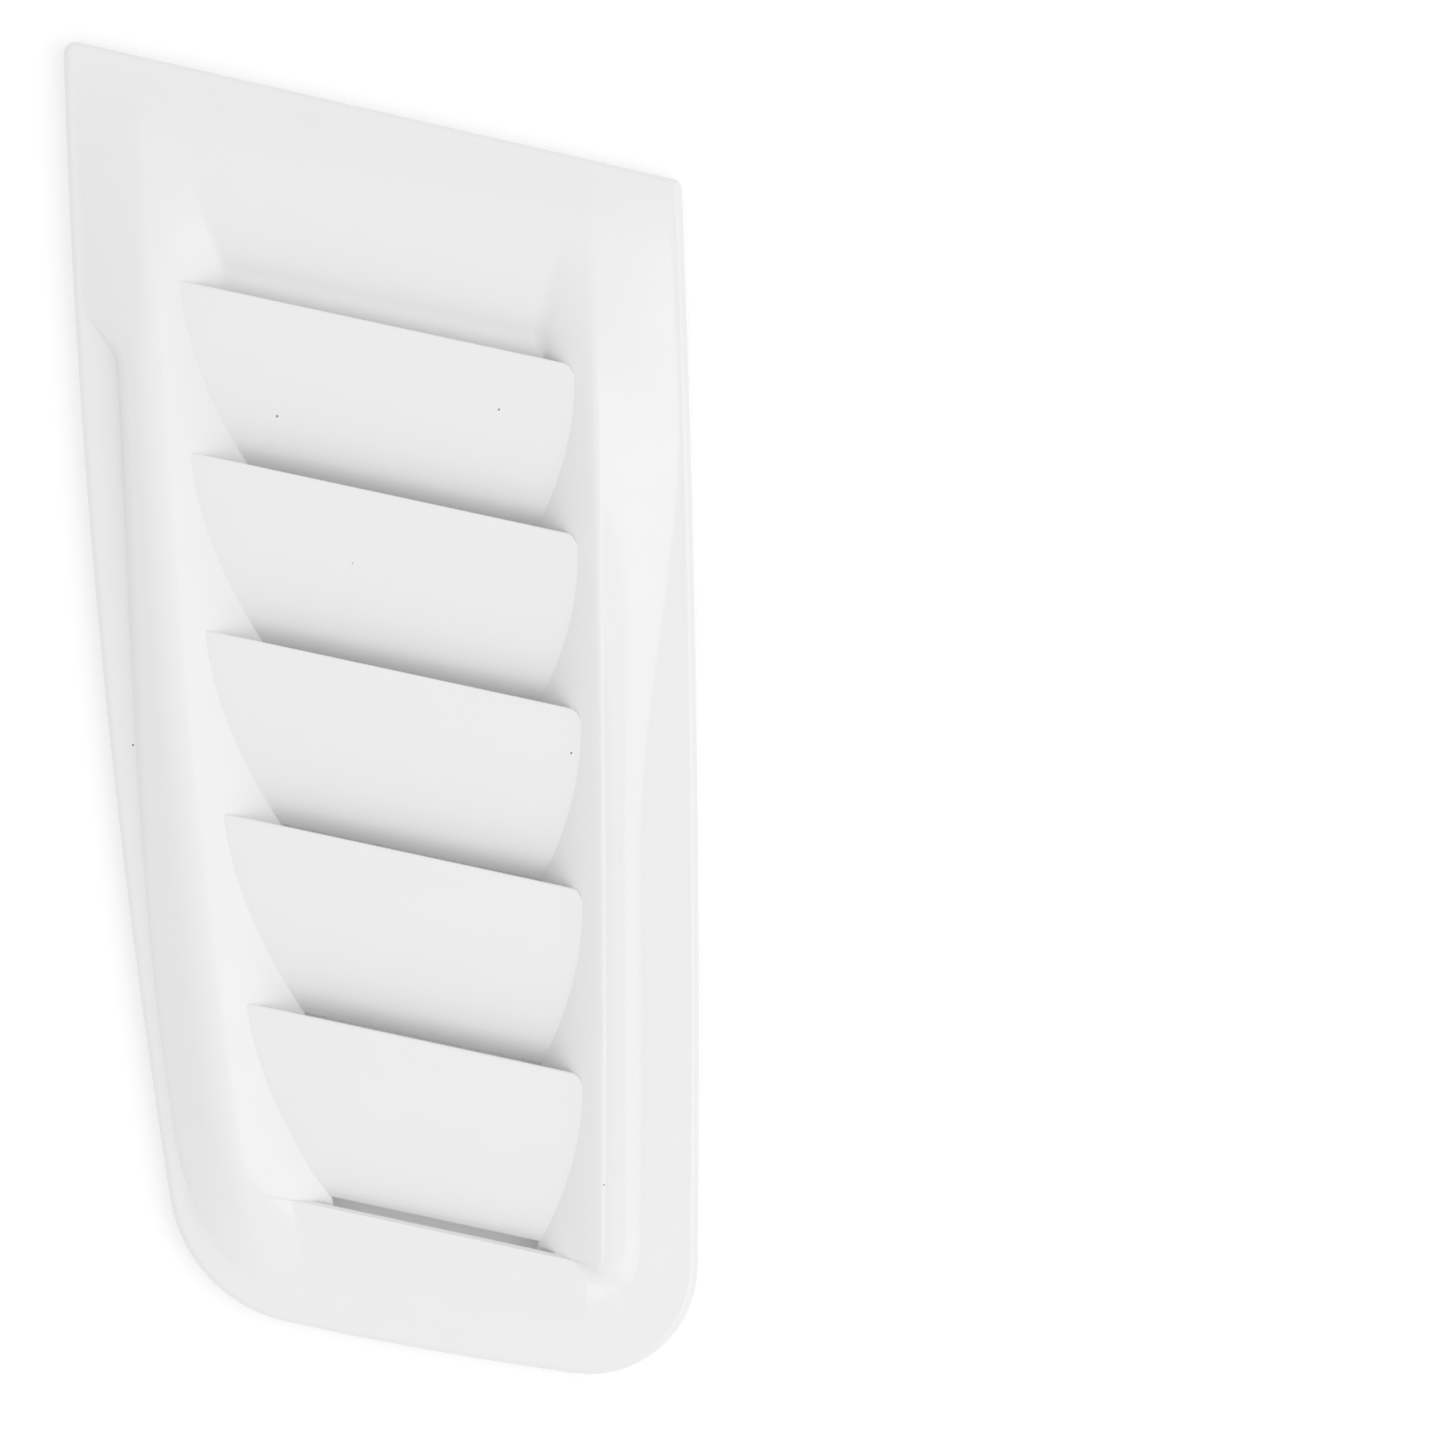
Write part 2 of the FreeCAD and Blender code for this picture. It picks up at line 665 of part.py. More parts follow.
def slat_body(name, start, height, end, drop):
    """A slat from its raised edge, at start, to where it passes under the next edge.

    It is flat at first, and an arc then takes it down by the drop.
    """
    start, end = start * CROSS, end * CROSS
    wall = size("slat_wall")
    lip_round = size("lip_round")
    flat = (start - end) * size("slat_flat_share")
    run = start - end - flat
    radius = (run ** 2 + drop ** 2) / (2 * drop)
    bend = start - flat
    centre = Vector(bend, height - radius, 0)
    under_end = Vector(end, centre.y + math.sqrt((radius - wall) ** 2 - run ** 2), 0)
    top_end = Vector(end, height - drop, 0)
    top_bend = Vector(bend, height, 0)
    low_bend = Vector(bend, height - wall, 0)
    low_lip = Vector(start, height - wall, 0)
    lip_side = Vector(start, height - lip_round, 0)
    lip_top = Vector(start - lip_round, height, 0)
    lip_centre = Vector(start - lip_round, height - lip_round, 0)

    body = swept_body(name)
    sketch = new_sketch(body, f"{name}_section", "YZ_Plane")
    face = sketch.addGeometry(Part.LineSegment(low_lip, lip_side))
    lip = sketch.addGeometry(arc_edge(lip_centre, lip_round, lip_side, lip_top))
    top = sketch.addGeometry(Part.LineSegment(lip_top, top_bend))
    curve = sketch.addGeometry(arc_edge(centre, radius, top_bend, top_end))
    tail = sketch.addGeometry(Part.LineSegment(top_end, under_end))
    under_curve = sketch.addGeometry(arc_edge(centre, radius - wall, low_bend, under_end))
    under = sketch.addGeometry(Part.LineSegment(low_bend, low_lip))
    for kind, *where in (
        ("Vertical", face),
        ("Tangent", face, END, lip, START),
        ("Tangent", lip, END, top, START),
        ("Horizontal", top),
        ("Tangent", top, END, curve, START),
        ("Coincident", curve, END, tail, START),
        ("Vertical", tail),
        ("Coincident", tail, END, under_curve, END),
        ("Coincident", curve, CENTRE, under_curve, CENTRE),
        ("Tangent", under_curve, START, under, START),
        ("Horizontal", under),
        ("Coincident", under, END, face, START),
    ):
        sketch.addConstraint(Sketcher.Constraint(kind, *where))
    bind(sketch, "sizes.lip_round", lip_round, "Radius", lip)
    bind(sketch, "sizes.slat_wall", wall, "DistanceY", under, END, top, START)
    hold(sketch, face, START, start, "DistanceX")
    hold(sketch, top, END, bend, "DistanceX")
    hold(sketch, top, END, height, "DistanceY")
    hold(sketch, tail, START, end, "DistanceX")
    hold(sketch, tail, START, height - drop, "DistanceY")
    return swept_pad(body, sketch)


def apron_body(name, start, height, end):
    """The slope in front of the last slot, from its raised edge down into the flange."""
    start, end = start * CROSS, end * CROSS
    wall = size("slat_wall")
    fall = Vector(end - APRON_LAP - start, 0, 0)
    fall.y = (RIM - height) * fall.x / (end - start)
    lip = Vector(start, height, 0)
    down = Vector(0, -wall, 0)
    spots = [lip, lip + fall, lip + fall + down, lip + down]
    body = swept_body(name)
    sketch = new_sketch(body, f"{name}_section", "YZ_Plane")
    lines = [sketch.addGeometry(Part.LineSegment(here, ahead))
             for here, ahead in zip(spots, spots[1:] + spots[:1])]
    for before, after in zip(lines, lines[1:] + lines[:1]):
        sketch.addConstraint(Sketcher.Constraint("Coincident", before, END, after, START))
    top, far_end, under, face = lines
    sketch.addConstraint(Sketcher.Constraint("Vertical", far_end))
    sketch.addConstraint(Sketcher.Constraint("Vertical", face))
    bind(sketch, "sizes.slat_wall", wall, "DistanceY", face, START, face, END)
    bind(sketch, "sizes.slat_wall", wall, "DistanceY", far_end, END, far_end, START)
    hold(sketch, top, START, lip.x, "DistanceX")
    hold(sketch, top, START, lip.y, "DistanceY")
    hold(sketch, top, END, (lip + fall).x, "DistanceX")
    hold(sketch, top, END, (lip + fall).y, "DistanceY")
    return swept_pad(body, sketch)


# The slats in their field: the first starts flush with the rear slope's front border

FLUSH_INSET = 1.0
LEFT_REACH = 29.0
RIGHT_REACH = 32.0

slats = [slat_body("slat_1", FIELD - FLUSH_INSET / 2, floor_height(FIELD - FLUSH_INSET),
                   FIRST_LIP, floor_height(FIELD - FLUSH_INSET) - floor_height(FIRST_LIP))]
for number in range(1, LOUVRES):
    start = lip_station(number - 1)
    end = lip_station(number)
    if number == LOUVRES - 1:
        end += size("open_slot")
    slats.append(slat_body(f"slat_{number + 1}", start, lip_height(start), end, DROP))
apron_height = lip_height(FRONT_LIP) - DROP + size("apron_rise")
slats.append(apron_body("apron", FRONT_LIP, apron_height, APRON_END))

slat_stack = doc.addObject("Part::MultiFuse", "slat_stack")
slat_stack.Shapes = slats
above_walls = profile_solid("above_walls", WALL / 2, ABOVE)
field_prism = swept_prism("field_prism", LEFT_REACH, RIGHT_REACH, FIELD, APRON_END - APRON_LAP)
louvre_space = combined("Part::Common", "louvre_space", above_walls, field_prism)
louvres = combined("Part::Common", "louvres", slat_stack, louvre_space)

panel = combined("Part::Fuse", "vent_panel", tray, louvres)
panel.Refine = True
doc.recompute()
panel.Label = "vent_panel"


# Every object has to be sound before the panel is written

for item in doc.Objects:
    if "Invalid" in item.State or "Error" in item.State:
        raise RuntimeError(f"{item.Name} has failed")
shape = panel.Shape
if shape.isNull() or not shape.isValid() or len(shape.Solids) != 1:
    raise RuntimeError("the panel isn't one sound solid")
shape.Solids[0].exportStep(f"parts/{panel.Label}.step")
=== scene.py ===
"""Left car bonnet vent: the moulded panel with its louvre slats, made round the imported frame.

Lengths are millimetres, but for the settings and what Blender is given, which are in metres. A
station is the place along the panel where a swept line crosses the middle line X = 0.
"""
import math

import bmesh
import bpy
from bpy.props import FloatProperty, FloatVectorProperty, PointerProperty
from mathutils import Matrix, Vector
from mathutils.geometry import delaunay_2d_cdt


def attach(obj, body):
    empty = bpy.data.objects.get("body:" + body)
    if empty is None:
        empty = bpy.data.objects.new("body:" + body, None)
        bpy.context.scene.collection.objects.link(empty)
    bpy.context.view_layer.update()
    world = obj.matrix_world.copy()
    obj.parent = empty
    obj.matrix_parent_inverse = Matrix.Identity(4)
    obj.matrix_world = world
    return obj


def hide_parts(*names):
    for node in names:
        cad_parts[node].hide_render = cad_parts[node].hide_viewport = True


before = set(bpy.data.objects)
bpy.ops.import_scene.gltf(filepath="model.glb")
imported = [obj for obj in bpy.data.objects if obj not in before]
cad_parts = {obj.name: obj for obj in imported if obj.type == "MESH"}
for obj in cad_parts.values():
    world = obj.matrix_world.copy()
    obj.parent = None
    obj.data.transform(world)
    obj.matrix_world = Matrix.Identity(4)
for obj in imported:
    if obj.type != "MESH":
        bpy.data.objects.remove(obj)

bl_info = {
    "name": "Car bonnet vent",
    "version": (1, 0, 0),
    "blender": (4, 5, 0),
    "location": "3D View > Sidebar > Vent",
    "description": "Makes a louvred bonnet vent and the stage that it is shown on",
    "category": "Add Mesh",
}

MM = 0.001
EDGE_ROUND = 2.5
PLASTIC_WHITE = "#efefef"
WHITE = "#ffffff"


def linear(hex_colour):
    """Linear colour of an sRGB hex value."""
    values = [int(hex_colour[place:place + 2], 16) / 255 for place in (1, 3, 5)]
    return [value / 12.92 if value <= 0.04045 else ((value + 0.055) / 1.055) ** 2.4
            for value in values] + [1.0]


# Settings that a user would change

class VentSizes(bpy.types.PropertyGroup):
    edge_round: FloatProperty(name="Edge rounding", description="Rounding of the outer edge",
                              default=EDGE_ROUND * MM, min=0, unit="LENGTH")
    wall: FloatProperty(name="Wall", description="Wall of the moulding",
                        default=2.6 * MM, min=0, unit="LENGTH")
    slat_wall: FloatProperty(name="Slat wall", description="Wall of a slat",
                             default=2.4 * MM, min=0, unit="LENGTH")
    lip_round: FloatProperty(name="Slat edge rounding", description="Rounding of a slat's edge",
                             default=0.8 * MM, min=0, unit="LENGTH")
    corner_round: FloatProperty(name="Slat corner rounding",
                                description="Rounding of a slat's right corner, seen from above",
                                default=3.4 * MM, min=0, unit="LENGTH")
    slat_drop: FloatProperty(name="Slat drop", description="From a slat's edge to its foot",
                             default=10 * MM, min=0, unit="LENGTH")
    flat_share: FloatProperty(name="Flat share", description="Flat share of a slat's length",
                              default=0.05, min=0, max=0.9, subtype="FACTOR")
    open_slot: FloatProperty(name="Open slot", description="Foremost slot, seen from above",
                             default=3 * MM, min=0, unit="LENGTH")


class VentFinish(bpy.types.PropertyGroup):
    plastic: FloatVectorProperty(name="Plastic", description="Colour of the moulded plastic",
                                 default=linear(PLASTIC_WHITE)[:3], size=3, min=0, max=1,
                                 subtype="COLOR")
    roughness: FloatProperty(name="Roughness", description="Roughness of the moulded surface",
                             default=0.2, min=0, max=1, subtype="FACTOR")


class VentStage(bpy.types.PropertyGroup):
    camera_height: FloatProperty(name="Camera height", description="Camera above the flange",
                                 default=1.2, min=0.1, unit="LENGTH")
    sky: FloatProperty(name="Sky", description="Strength of the even light all round",
                       default=0.87, min=0)
    softbox: FloatProperty(name="Softbox", description="Power of the large lamp overhead",
                           default=5.4, min=0, unit="POWER")


# Sizes of the panel's outline and side walls, in millimetres

REAR_LEFT = Vector((-97.5, 205.2))
REAR_RIGHT = Vector((92.0, 161.6))
FRONT_RIGHT = Vector((96.4, -208.5))
FRONT_LEFT = Vector((-59.7, -181.0))
LEFT_BOW = 2800.0
RIGHT_BOW = 6500.0
FRONT_BOW = 1150.0
CORNER_ROUNDS = {"front_right": 33.0, "rear_right": 3.0, "rear_left": 3.7, "front_left": 46.0}
SWEEP_ANGLE = 12.13
SWEEP = math.tan(math.radians(SWEEP_ANGLE))
RIM = 9.0

REAR_SLOPE = 21.0
BORDER_HEIGHT = 15.6
FIRST_LIP = 117.1
FIRST_PITCH = 51.6
PITCH_GROWTH = 1.5
REAR_LIP_HEIGHT = 16.0
FRONT_LIP_HEIGHT = 18.6
RIDGE_RISE = 3.8
APRON_RISE = 5.0
APRON_LENGTH = 17.0

LEFT_CREST = 24.5
LEFT_FLOOR = 50.0
RIGHT_CREST = 28.0
RIGHT_FLOOR = 47.5
RIGHT_FOOT = 17.0
STRIP_REAR = 12.6
STRIP_FRONT = 4.8
CREST_FLAT = 6.5
RIDGE_FLAT = 3.9
SHOULDER_REAR = 3.5
SHOULDER_FRONT = 8.0
SHOULDER_SHARE = 0.35
NARROWEST_SLOPE = 1.0
WALL_DRAFT = 0.8
FOOT_RISE = 1.5
FLOOR_OVERRUN = 4.0
CREASE_ROUND = 1.0
NOSE_BEHIND = 7.7
NOSE_TURN = 5.5
NOSE_LENGTH = 13.0
LEFT_FADE = 62.0
LEFT_FADE_AHEAD = 42.0
RIGHT_NOSE = 19.0
RIGHT_NOSE_AHEAD = 11.4
SUNK = RIM - 3.0
SOFT_CORNER = 0.5

# Where the side walls change, in pitches forward of the rearmost slat edge
STRIP_STARTS = 0.25
STRIP_CLEAR = 0.58
STRIP_NARROWS = 0.45
STRIP_NARROWEST = 4.8
STEP_STARTS = 0.06
STEP_FULL = 2.87


def settings():
    return bpy.context.scene.vent_sizes


def millimetres(length):
    return length / MM


def mix(low, high, share):
    return low + (high - low) * share


def smooth(start, end, place):
    """0 at start and before it, 1 at end and past it, with a smooth S between them."""
    share = min(max((place - start) / (end - start), 0.0), 1.0)
    return share * share * (3 - 2 * share)


def lower_of(first, second, rounding):
    """The lower of two heights, with the corner between them rounded."""
    return (first + second) / 2 - math.hypot((first - second) / 2, rounding)


# The outline: four sides, three of them bowed, with rounded corners between them

class Side:
    """One side of the outline, gone round anticlockwise; bowed outwards if it has a radius."""

    def __init__(self, start, end, radius=None):
        self.start = start
        self.end = end
        self.radius = radius
        chord = end - start
        self.inward = Vector((-chord.y, chord.x)).normalized()
        if radius:
            reach = math.sqrt(radius ** 2 - (chord.length / 2) ** 2)
            self.centre = (start + end) / 2 + self.inward * reach

    def inset(self, spot, distance):
        """The nearest spot that lies a distance inside this side."""
        if self.radius:
            away = spot - self.centre
            return self.centre + away * ((self.radius - distance) / away.length)
        return spot + self.inward * (distance - (spot - self.start).dot(self.inward))

    def outward(self, spot):
        """Direction out of the panel at a spot on this side."""
        return (spot - self.centre).normalized() if self.radius else -self.inward


RIGHT = Side(FRONT_RIGHT, REAR_RIGHT, RIGHT_BOW)
REAR_SIDE = Side(REAR_RIGHT, REAR_LEFT)
LEFT = Side(REAR_LEFT, FRONT_LEFT, LEFT_BOW)
FRONT_SIDE = Side(FRONT_LEFT, FRONT_RIGHT, FRONT_BOW)
SIDES = [RIGHT, REAR_SIDE, LEFT, FRONT_SIDE]
# Rounds in which a place that is found step by step settles
SETTLING = 12
OUTLINE_STEP = 2.5
CORNER_STEPS = 14


def corner_centres():
    """Centre and radius of each corner's rounding, in the order of the sides that leave it."""
    corners = []
    for radius, before, after in zip(CORNER_ROUNDS.values(), SIDES[-1:] + SIDES[:-1], SIDES):
        centre = after.start.copy()
        for _ in range(4 * SETTLING):
            centre = after.inset(before.inset(centre, radius), radius)
        corners.append((centre, radius))
    return corners


CORNERS = corner_centres()


def outline_points():
    """Points along the outline, anticlockwise, each with its direction out of the panel."""
    points = []
    around = zip(CORNERS, SIDES[-1:] + SIDES[:-1], SIDES, CORNERS[1:] + CORNERS[:1])
    for (centre, radius), before, after, (next_centre, _) in around:
        first = before.outward(centre)
        turn = -first.angle_signed(after.outward(centre))
        for number in range(CORNER_STEPS):
            angle = turn * number / CORNER_STEPS
            out = Vector((first.x * math.cos(angle) - first.y * math.sin(angle),
                          first.x * math.sin(angle) + first.y * math.cos(angle)))
            points.append((centre + out * radius, out))
        start = after.inset(centre, 0)
        end = after.inset(next_centre, 0)
        steps = max(1, round((end - start).length / OUTLINE_STEP))
        for number in range(steps):
            spot = after.inset(start.lerp(end, number / steps), 0)
            points.append((spot, after.outward(spot)))
    return points


def kept_in_corners(spot, inset):
    """The spot, moved inside the rounding of the corner that it lies in, if it lies in one."""
    for (centre, radius), before, after in zip(CORNERS, SIDES[-1:] + SIDES[:-1], SIDES):
        away = spot - centre
        room = max(radius - inset, 0.0)
        past_both = (away.dot(before.outward(centre)) > 0 and away.dot(after.outward(centre)) > 0)
        if past_both and away.length > room and radius < LEFT_CREST:
            return centre + away * (room / away.length)
    return spot


def edge_line(side):
    """Sweep of an end edge, and its station on the middle line."""
    rise = side.end - side.start
    return -rise.y / rise.x, side.start.y - rise.y / rise.x * side.start.x


# Landmarks along the panel, as stations

def lip_station(number):
    """Station of a slat edge, 0 being the rearmost."""
    return FIRST_LIP - number * FIRST_PITCH - PITCH_GROWTH * number * (number - 1) / 2


LIPS = 5
REAR_SWEEP, REAR = edge_line(REAR_SIDE)
FRONT_SWEEP, FRONT = edge_line(FRONT_SIDE)
FOOT_GAP = 0.6
REAR_FOOT = REAR - EDGE_ROUND - FOOT_GAP
FIELD = REAR - REAR_SLOPE
FRONT_LIP = lip_station(LIPS)
APRON_END = FRONT_LIP - APRON_LENGTH
NOSE_START = FRONT_LIP + NOSE_BEHIND
LEFT_END = FRONT_LIP - LEFT_FADE_AHEAD
RIGHT_END = FRONT_LIP - RIGHT_NOSE_AHEAD


def fan(station):
    """Sweep of a profile: the louvres' over the field, turning to that of the end edges."""
    over_field = mix(SWEEP, REAR_SWEEP, smooth(FIELD, REAR, station))
    return mix(FRONT_SWEEP, over_field, smooth(FRONT, APRON_END, station))


def side_x(side, sign, station):
    """X where the swept line of a station meets the left or right side, sign being -1 or 1."""
    x = side.start.x
    for _ in range(SETTLING):
        y = station - fan(station) * x
        x = side.centre.x + sign * math.sqrt(side.radius ** 2 - (y - side.centre.y) ** 2)
    return x


def rounded_left_x(station):
    """X where the swept line of a station meets the left side or the corner in front of it."""
    centre, radius = CORNERS[-1]
    low, high = side_x(LEFT, -1, station), centre.x
    for _ in range(3 * SETTLING):
        middle = (low + high) / 2
        y = station - fan(station) * middle
        outside = y < centre.y and math.hypot(middle - centre.x, y - centre.y) > radius
        low, high = (middle, high) if outside else (low, middle)
    return low


def forward(pitches):
    """Station at a number of pitches forward of the rearmost slat edge."""
    return FIRST_LIP - pitches * FIRST_PITCH


# Heights along the panel

def lip_height(station):
    share = (FIRST_LIP - station) / (FIRST_LIP - FRONT_LIP)
    return mix(REAR_LIP_HEIGHT, FRONT_LIP_HEIGHT, share)


def ridge_height(station):
    """Height of the field's border: rear slope, rising rear part, then level with the slats."""
    slope = RIM + (BORDER_HEIGHT - RIM) * (REAR_FOOT - station) / (REAR_FOOT - FIELD)
    full = REAR_LIP_HEIGHT + RIDGE_RISE
    rising = mix(BORDER_HEIGHT, full, (FIELD - station) / (FIELD - FIRST_LIP))
    level = lip_height(station) + RIDGE_RISE
    height = lower_of(lower_of(slope, rising, SOFT_CORNER), level, SOFT_CORNER)
    return max(height, RIM)


def curved_down(start, end, height, drop, share, station):
    """Height of a slat that is flat for its first share and then curves down by the drop."""
    cross = math.cos(math.radians(SWEEP_ANGLE))
    run = (start - end) * (1 - share) * cross
    radius = (run ** 2 + drop ** 2) / (2 * drop)
    beyond = min(max((start - station) * cross - (start - end) * share * cross, 0.0), run)
    return height - radius + math.sqrt(radius ** 2 - beyond ** 2)


def wall_floor(station):
    """Height that the side walls run down to: that of the slats' feet, sinking at the front."""
    deep = lip_height(station) - millimetres(settings().slat_drop)
    first = REAR_LIP_HEIGHT - millimetres(settings().slat_drop)
    ramp = mix(BORDER_HEIGHT, first, (FIELD - station) / (FIELD - FIRST_LIP))
    sunk = -lower_of(-ramp, -deep, SOFT_CORNER)
    behind = lower_of(ridge_height(station), sunk, SOFT_CORNER / 2)
    return mix(SUNK, behind, smooth(APRON_END, FRONT_LIP, station))


def floor_height(station):
    """Height between the side walls: rear slope and first slat, slat feet, apron, flange."""
    drop = millimetres(settings().slat_drop)
    if station >= FIRST_LIP:
        top = BORDER_HEIGHT - SOFT_CORNER / 2
        raised = mix(0.0, SOFT_CORNER / 2, smooth(REAR_FOOT, FIELD, station))
        first = curved_down(FIELD, FIRST_LIP, top, top - (REAR_LIP_HEIGHT - drop),
                            settings().flat_share, station)
        return max(lower_of(ridge_height(station) + raised, first, SOFT_CORNER / 2), RIM)
    if station > FRONT_LIP:
        return lip_height(station) - drop
    top = FRONT_LIP_HEIGHT - drop + APRON_RISE
    apron = mix(top, RIM, (FRONT_LIP - station) / APRON_LENGTH)
    return max(apron, RIM)


# The side walls at one station

def quadratic(points, share):
    """A point of the curve that three control points give."""
    start, control, end = points
    return start.lerp(control, share).lerp(control.lerp(end, share), share)


def share_at_height(points, height):
    """Share along a curve that only falls or only rises where it has a height."""
    low, high = 0.0, 1.0
    falling = points[0].y > points[-1].y
    for _ in range(3 * SETTLING):
        middle = (low + high) / 2
        if (quadratic(points, middle).y > height) == falling:
            low = middle
        else:
            high = middle
    return low


def inner_wall(outer, sign, crest_inset, flat, floor_inset, crest, floor):
    """A ridge's inner wall: level at the crest, past the floor at the floor's own inset."""
    end_inset = floor_inset + FLOOR_OVERRUN
    square = crest_inset - 2 * (crest_inset + flat) + end_inset
    share = (math.sqrt(4 * flat ** 2 - 4 * square * (crest_inset - floor_inset)) - 2 * flat)
    share /= 2 * square
    end_height = crest - (crest - floor) / share ** 2
    return [Vector((outer - sign * crest_inset, crest)),
            Vector((outer - sign * (crest_inset + flat), crest)),
            Vector((outer - sign * end_inset, end_height))]


def side_walls(station):
    """Curves of the ridges across one station: left outer and inner, right inner and outer."""
    floor = wall_floor(station)
    level = floor_height(station)
    left = side_x(LEFT, -1, station)
    right = side_x(RIGHT, 1, station)
    left_kept = smooth(LEFT_END, LEFT_END + LEFT_FADE, station)
    right_kept = smooth(RIGHT_END, RIGHT_END + RIGHT_NOSE, station)
    crest = max(mix(SUNK, ridge_height(station), left_kept), level, RIM)
    crease = max(mix(SUNK, ridge_height(station), right_kept), level, RIM)

    narrow = smooth(forward(STRIP_NARROWEST), forward(STRIP_NARROWS), station)
    strip = mix(STRIP_FRONT, STRIP_REAR, narrow)
    stepped = smooth(forward(STRIP_CLEAR), forward(STRIP_STARTS), station)
    foot = mix(strip, millimetres(settings().edge_round) + FOOT_GAP, stepped)
    base = mix(SUNK, RIM, left_kept)
    shoulder = left + LEFT_CREST - mix(SHOULDER_FRONT, SHOULDER_REAR, stepped)
    foot = min(rounded_left_x(station) + foot, left + LEFT_CREST - NARROWEST_SLOPE)
    shoulder = max(shoulder, mix(foot, left + LEFT_CREST, SHOULDER_SHARE))
    left_outer = [Vector((foot, min(base, crest))), Vector((shoulder, crest)),
                  Vector((left + LEFT_CREST, crest))]

    turned = min(max((NOSE_START - station) / NOSE_LENGTH, 0.0), 1.0)
    nose = NOSE_TURN * (1 - math.sqrt(1 - turned ** 2))
    crease_inset = RIGHT_CREST + nose
    steep = smooth(forward(STEP_FULL), forward(STEP_STARTS), station)
    foot = mix(RIGHT_FOOT + nose, millimetres(settings().edge_round) + FOOT_GAP, steep)
    wall_inset = mix(crease_inset - WALL_DRAFT, (crease_inset + foot) / 2, steep)
    rise = min(FOOT_RISE, (crease - RIM) / 2)
    wall_height = mix(RIM + rise, (crease + RIM) / 2, steep)
    right_outer = [Vector((right - crease_inset, crease)), Vector((right - wall_inset, wall_height)),
                   Vector((right - foot, RIM))]
    left_inner = inner_wall(left, -1, LEFT_CREST, CREST_FLAT, LEFT_FLOOR, crest, floor)
    right_inner = inner_wall(right, 1, crease_inset, RIDGE_FLAT, RIGHT_FLOOR, crease, floor)
    return left_outer, left_inner, right_inner, right_outer


# The tray: rows of points across the panel, joined to the flange and the rim

# Points over each part of a row
OUTER_STEPS = 16
INNER_STEPS = 16
CREASE_STEPS = 5
MIDDLE_STEPS = 44

# Least share of an inner wall's curve that is kept, and most of an outer one that is rounded
SHORTEST_WALL = 0.35
LONGEST_LEAVE = 0.3

# How far the walls run below the slats' feet in the window, and the run that it takes
WINDOW_LAP = 0.8
LAP_RUN = 2.0
RING_ANGLES = (0, 5, 12, 22, 34, 47, 60, 75, 90)

# Spacing of the rows, closest where the rear slope turns into the field
SLOPE_STEP = 1.5
TURN_STEP = 0.5
TURN_REACH = 3.0
WINDOW_STEP = 2.0
APRON_STEP = 1.0
SLOT_FACE = 0.2

# Distances at which spots count as one
SAME_SPOT = 1e-3
SAME_CROSSING = 1e-5


def inner_points(curve, level):
    """Points down an inner wall as far as a level, or along the level where the wall is low."""
    end = max(share_at_height(curve, level), SHORTEST_WALL)
    points = [quadratic(curve, end * number / INNER_STEPS) for number in range(INNER_STEPS + 1)]
    return [Vector((point.x, max(point.y, level))) for point in points]


def row_points(station):
    """Points across one station: over the left ridge, over the floor, over the right ridge."""
    left_outer, left_inner, right_inner, right_outer = side_walls(station)
    level = floor_height(station)
    if FIRST_LIP > station > FRONT_LIP:
        level -= WINDOW_LAP * smooth(FIRST_LIP, FIRST_LIP - LAP_RUN, station)
    foot = share_at_height(left_outer, RIM) if left_outer[0].y < RIM else 0.0
    left = [quadratic(left_outer, mix(foot, 1, number / OUTER_STEPS))
            for number in range(OUTER_STEPS)]
    left += inner_points(left_inner, level)

    inner = inner_points(right_inner, level)
    inner.reverse()
    height = right_inner[0].y - RIM
    rounding = min(CREASE_ROUND, height / 4)
    start = rounding / (2 * RIDGE_FLAT)
    down = (right_outer[1] - right_outer[0]).length
    leave = min(rounding / max(2 * down, rounding), LONGEST_LEAVE)
    corner = [quadratic(right_inner, start), right_inner[0], quadratic(right_outer, leave)]
    right = [point for point in inner if point.x < corner[0].x - CREASE_ROUND / 10]
    right += [corner[0]] * (INNER_STEPS + 1 - len(right))
    right += [quadratic(corner, number / CREASE_STEPS) for number in range(1, CREASE_STEPS)]
    right += [quadratic(right_outer, mix(leave, 1, number / OUTER_STEPS))
              for number in range(OUTER_STEPS + 1)]
    middle = [left[-1].lerp(right[0], number / MIDDLE_STEPS) for number in range(1, MIDDLE_STEPS)]
    return left, middle, right


def spaced(start, end, step):
    """Evenly spaced stations from start up to, and without, the end."""
    count = max(1, round(abs(end - start) / step))
    return [mix(start, end, number / count) for number in range(count)]


def left_tip():
    """Station where the left ridge has sunk into the flange."""
    full = lip_height(APRON_END) + RIDGE_RISE
    share = (RIM - SUNK) / (full - SUNK)
    low, high = LEFT_END, LEFT_END + LEFT_FADE
    for _ in range(3 * SETTLING):
        middle = (low + high) / 2
        sunk = smooth(LEFT_END, LEFT_END + LEFT_FADE, middle) < share
        low, high = (middle, high) if sunk else (low, middle)
    return low


def inside(spot, loop):
    """Whether a spot lies inside a closed loop of spots."""
    crossings = 0
    for here, ahead in zip(loop, loop[1:] + loop[:1]):
        if (here.y > spot.y) != (ahead.y > spot.y):
            crossings += mix(here.x, ahead.x, (spot.y - here.y) / (ahead.y - here.y)) > spot.x
    return crossings % 2 == 1


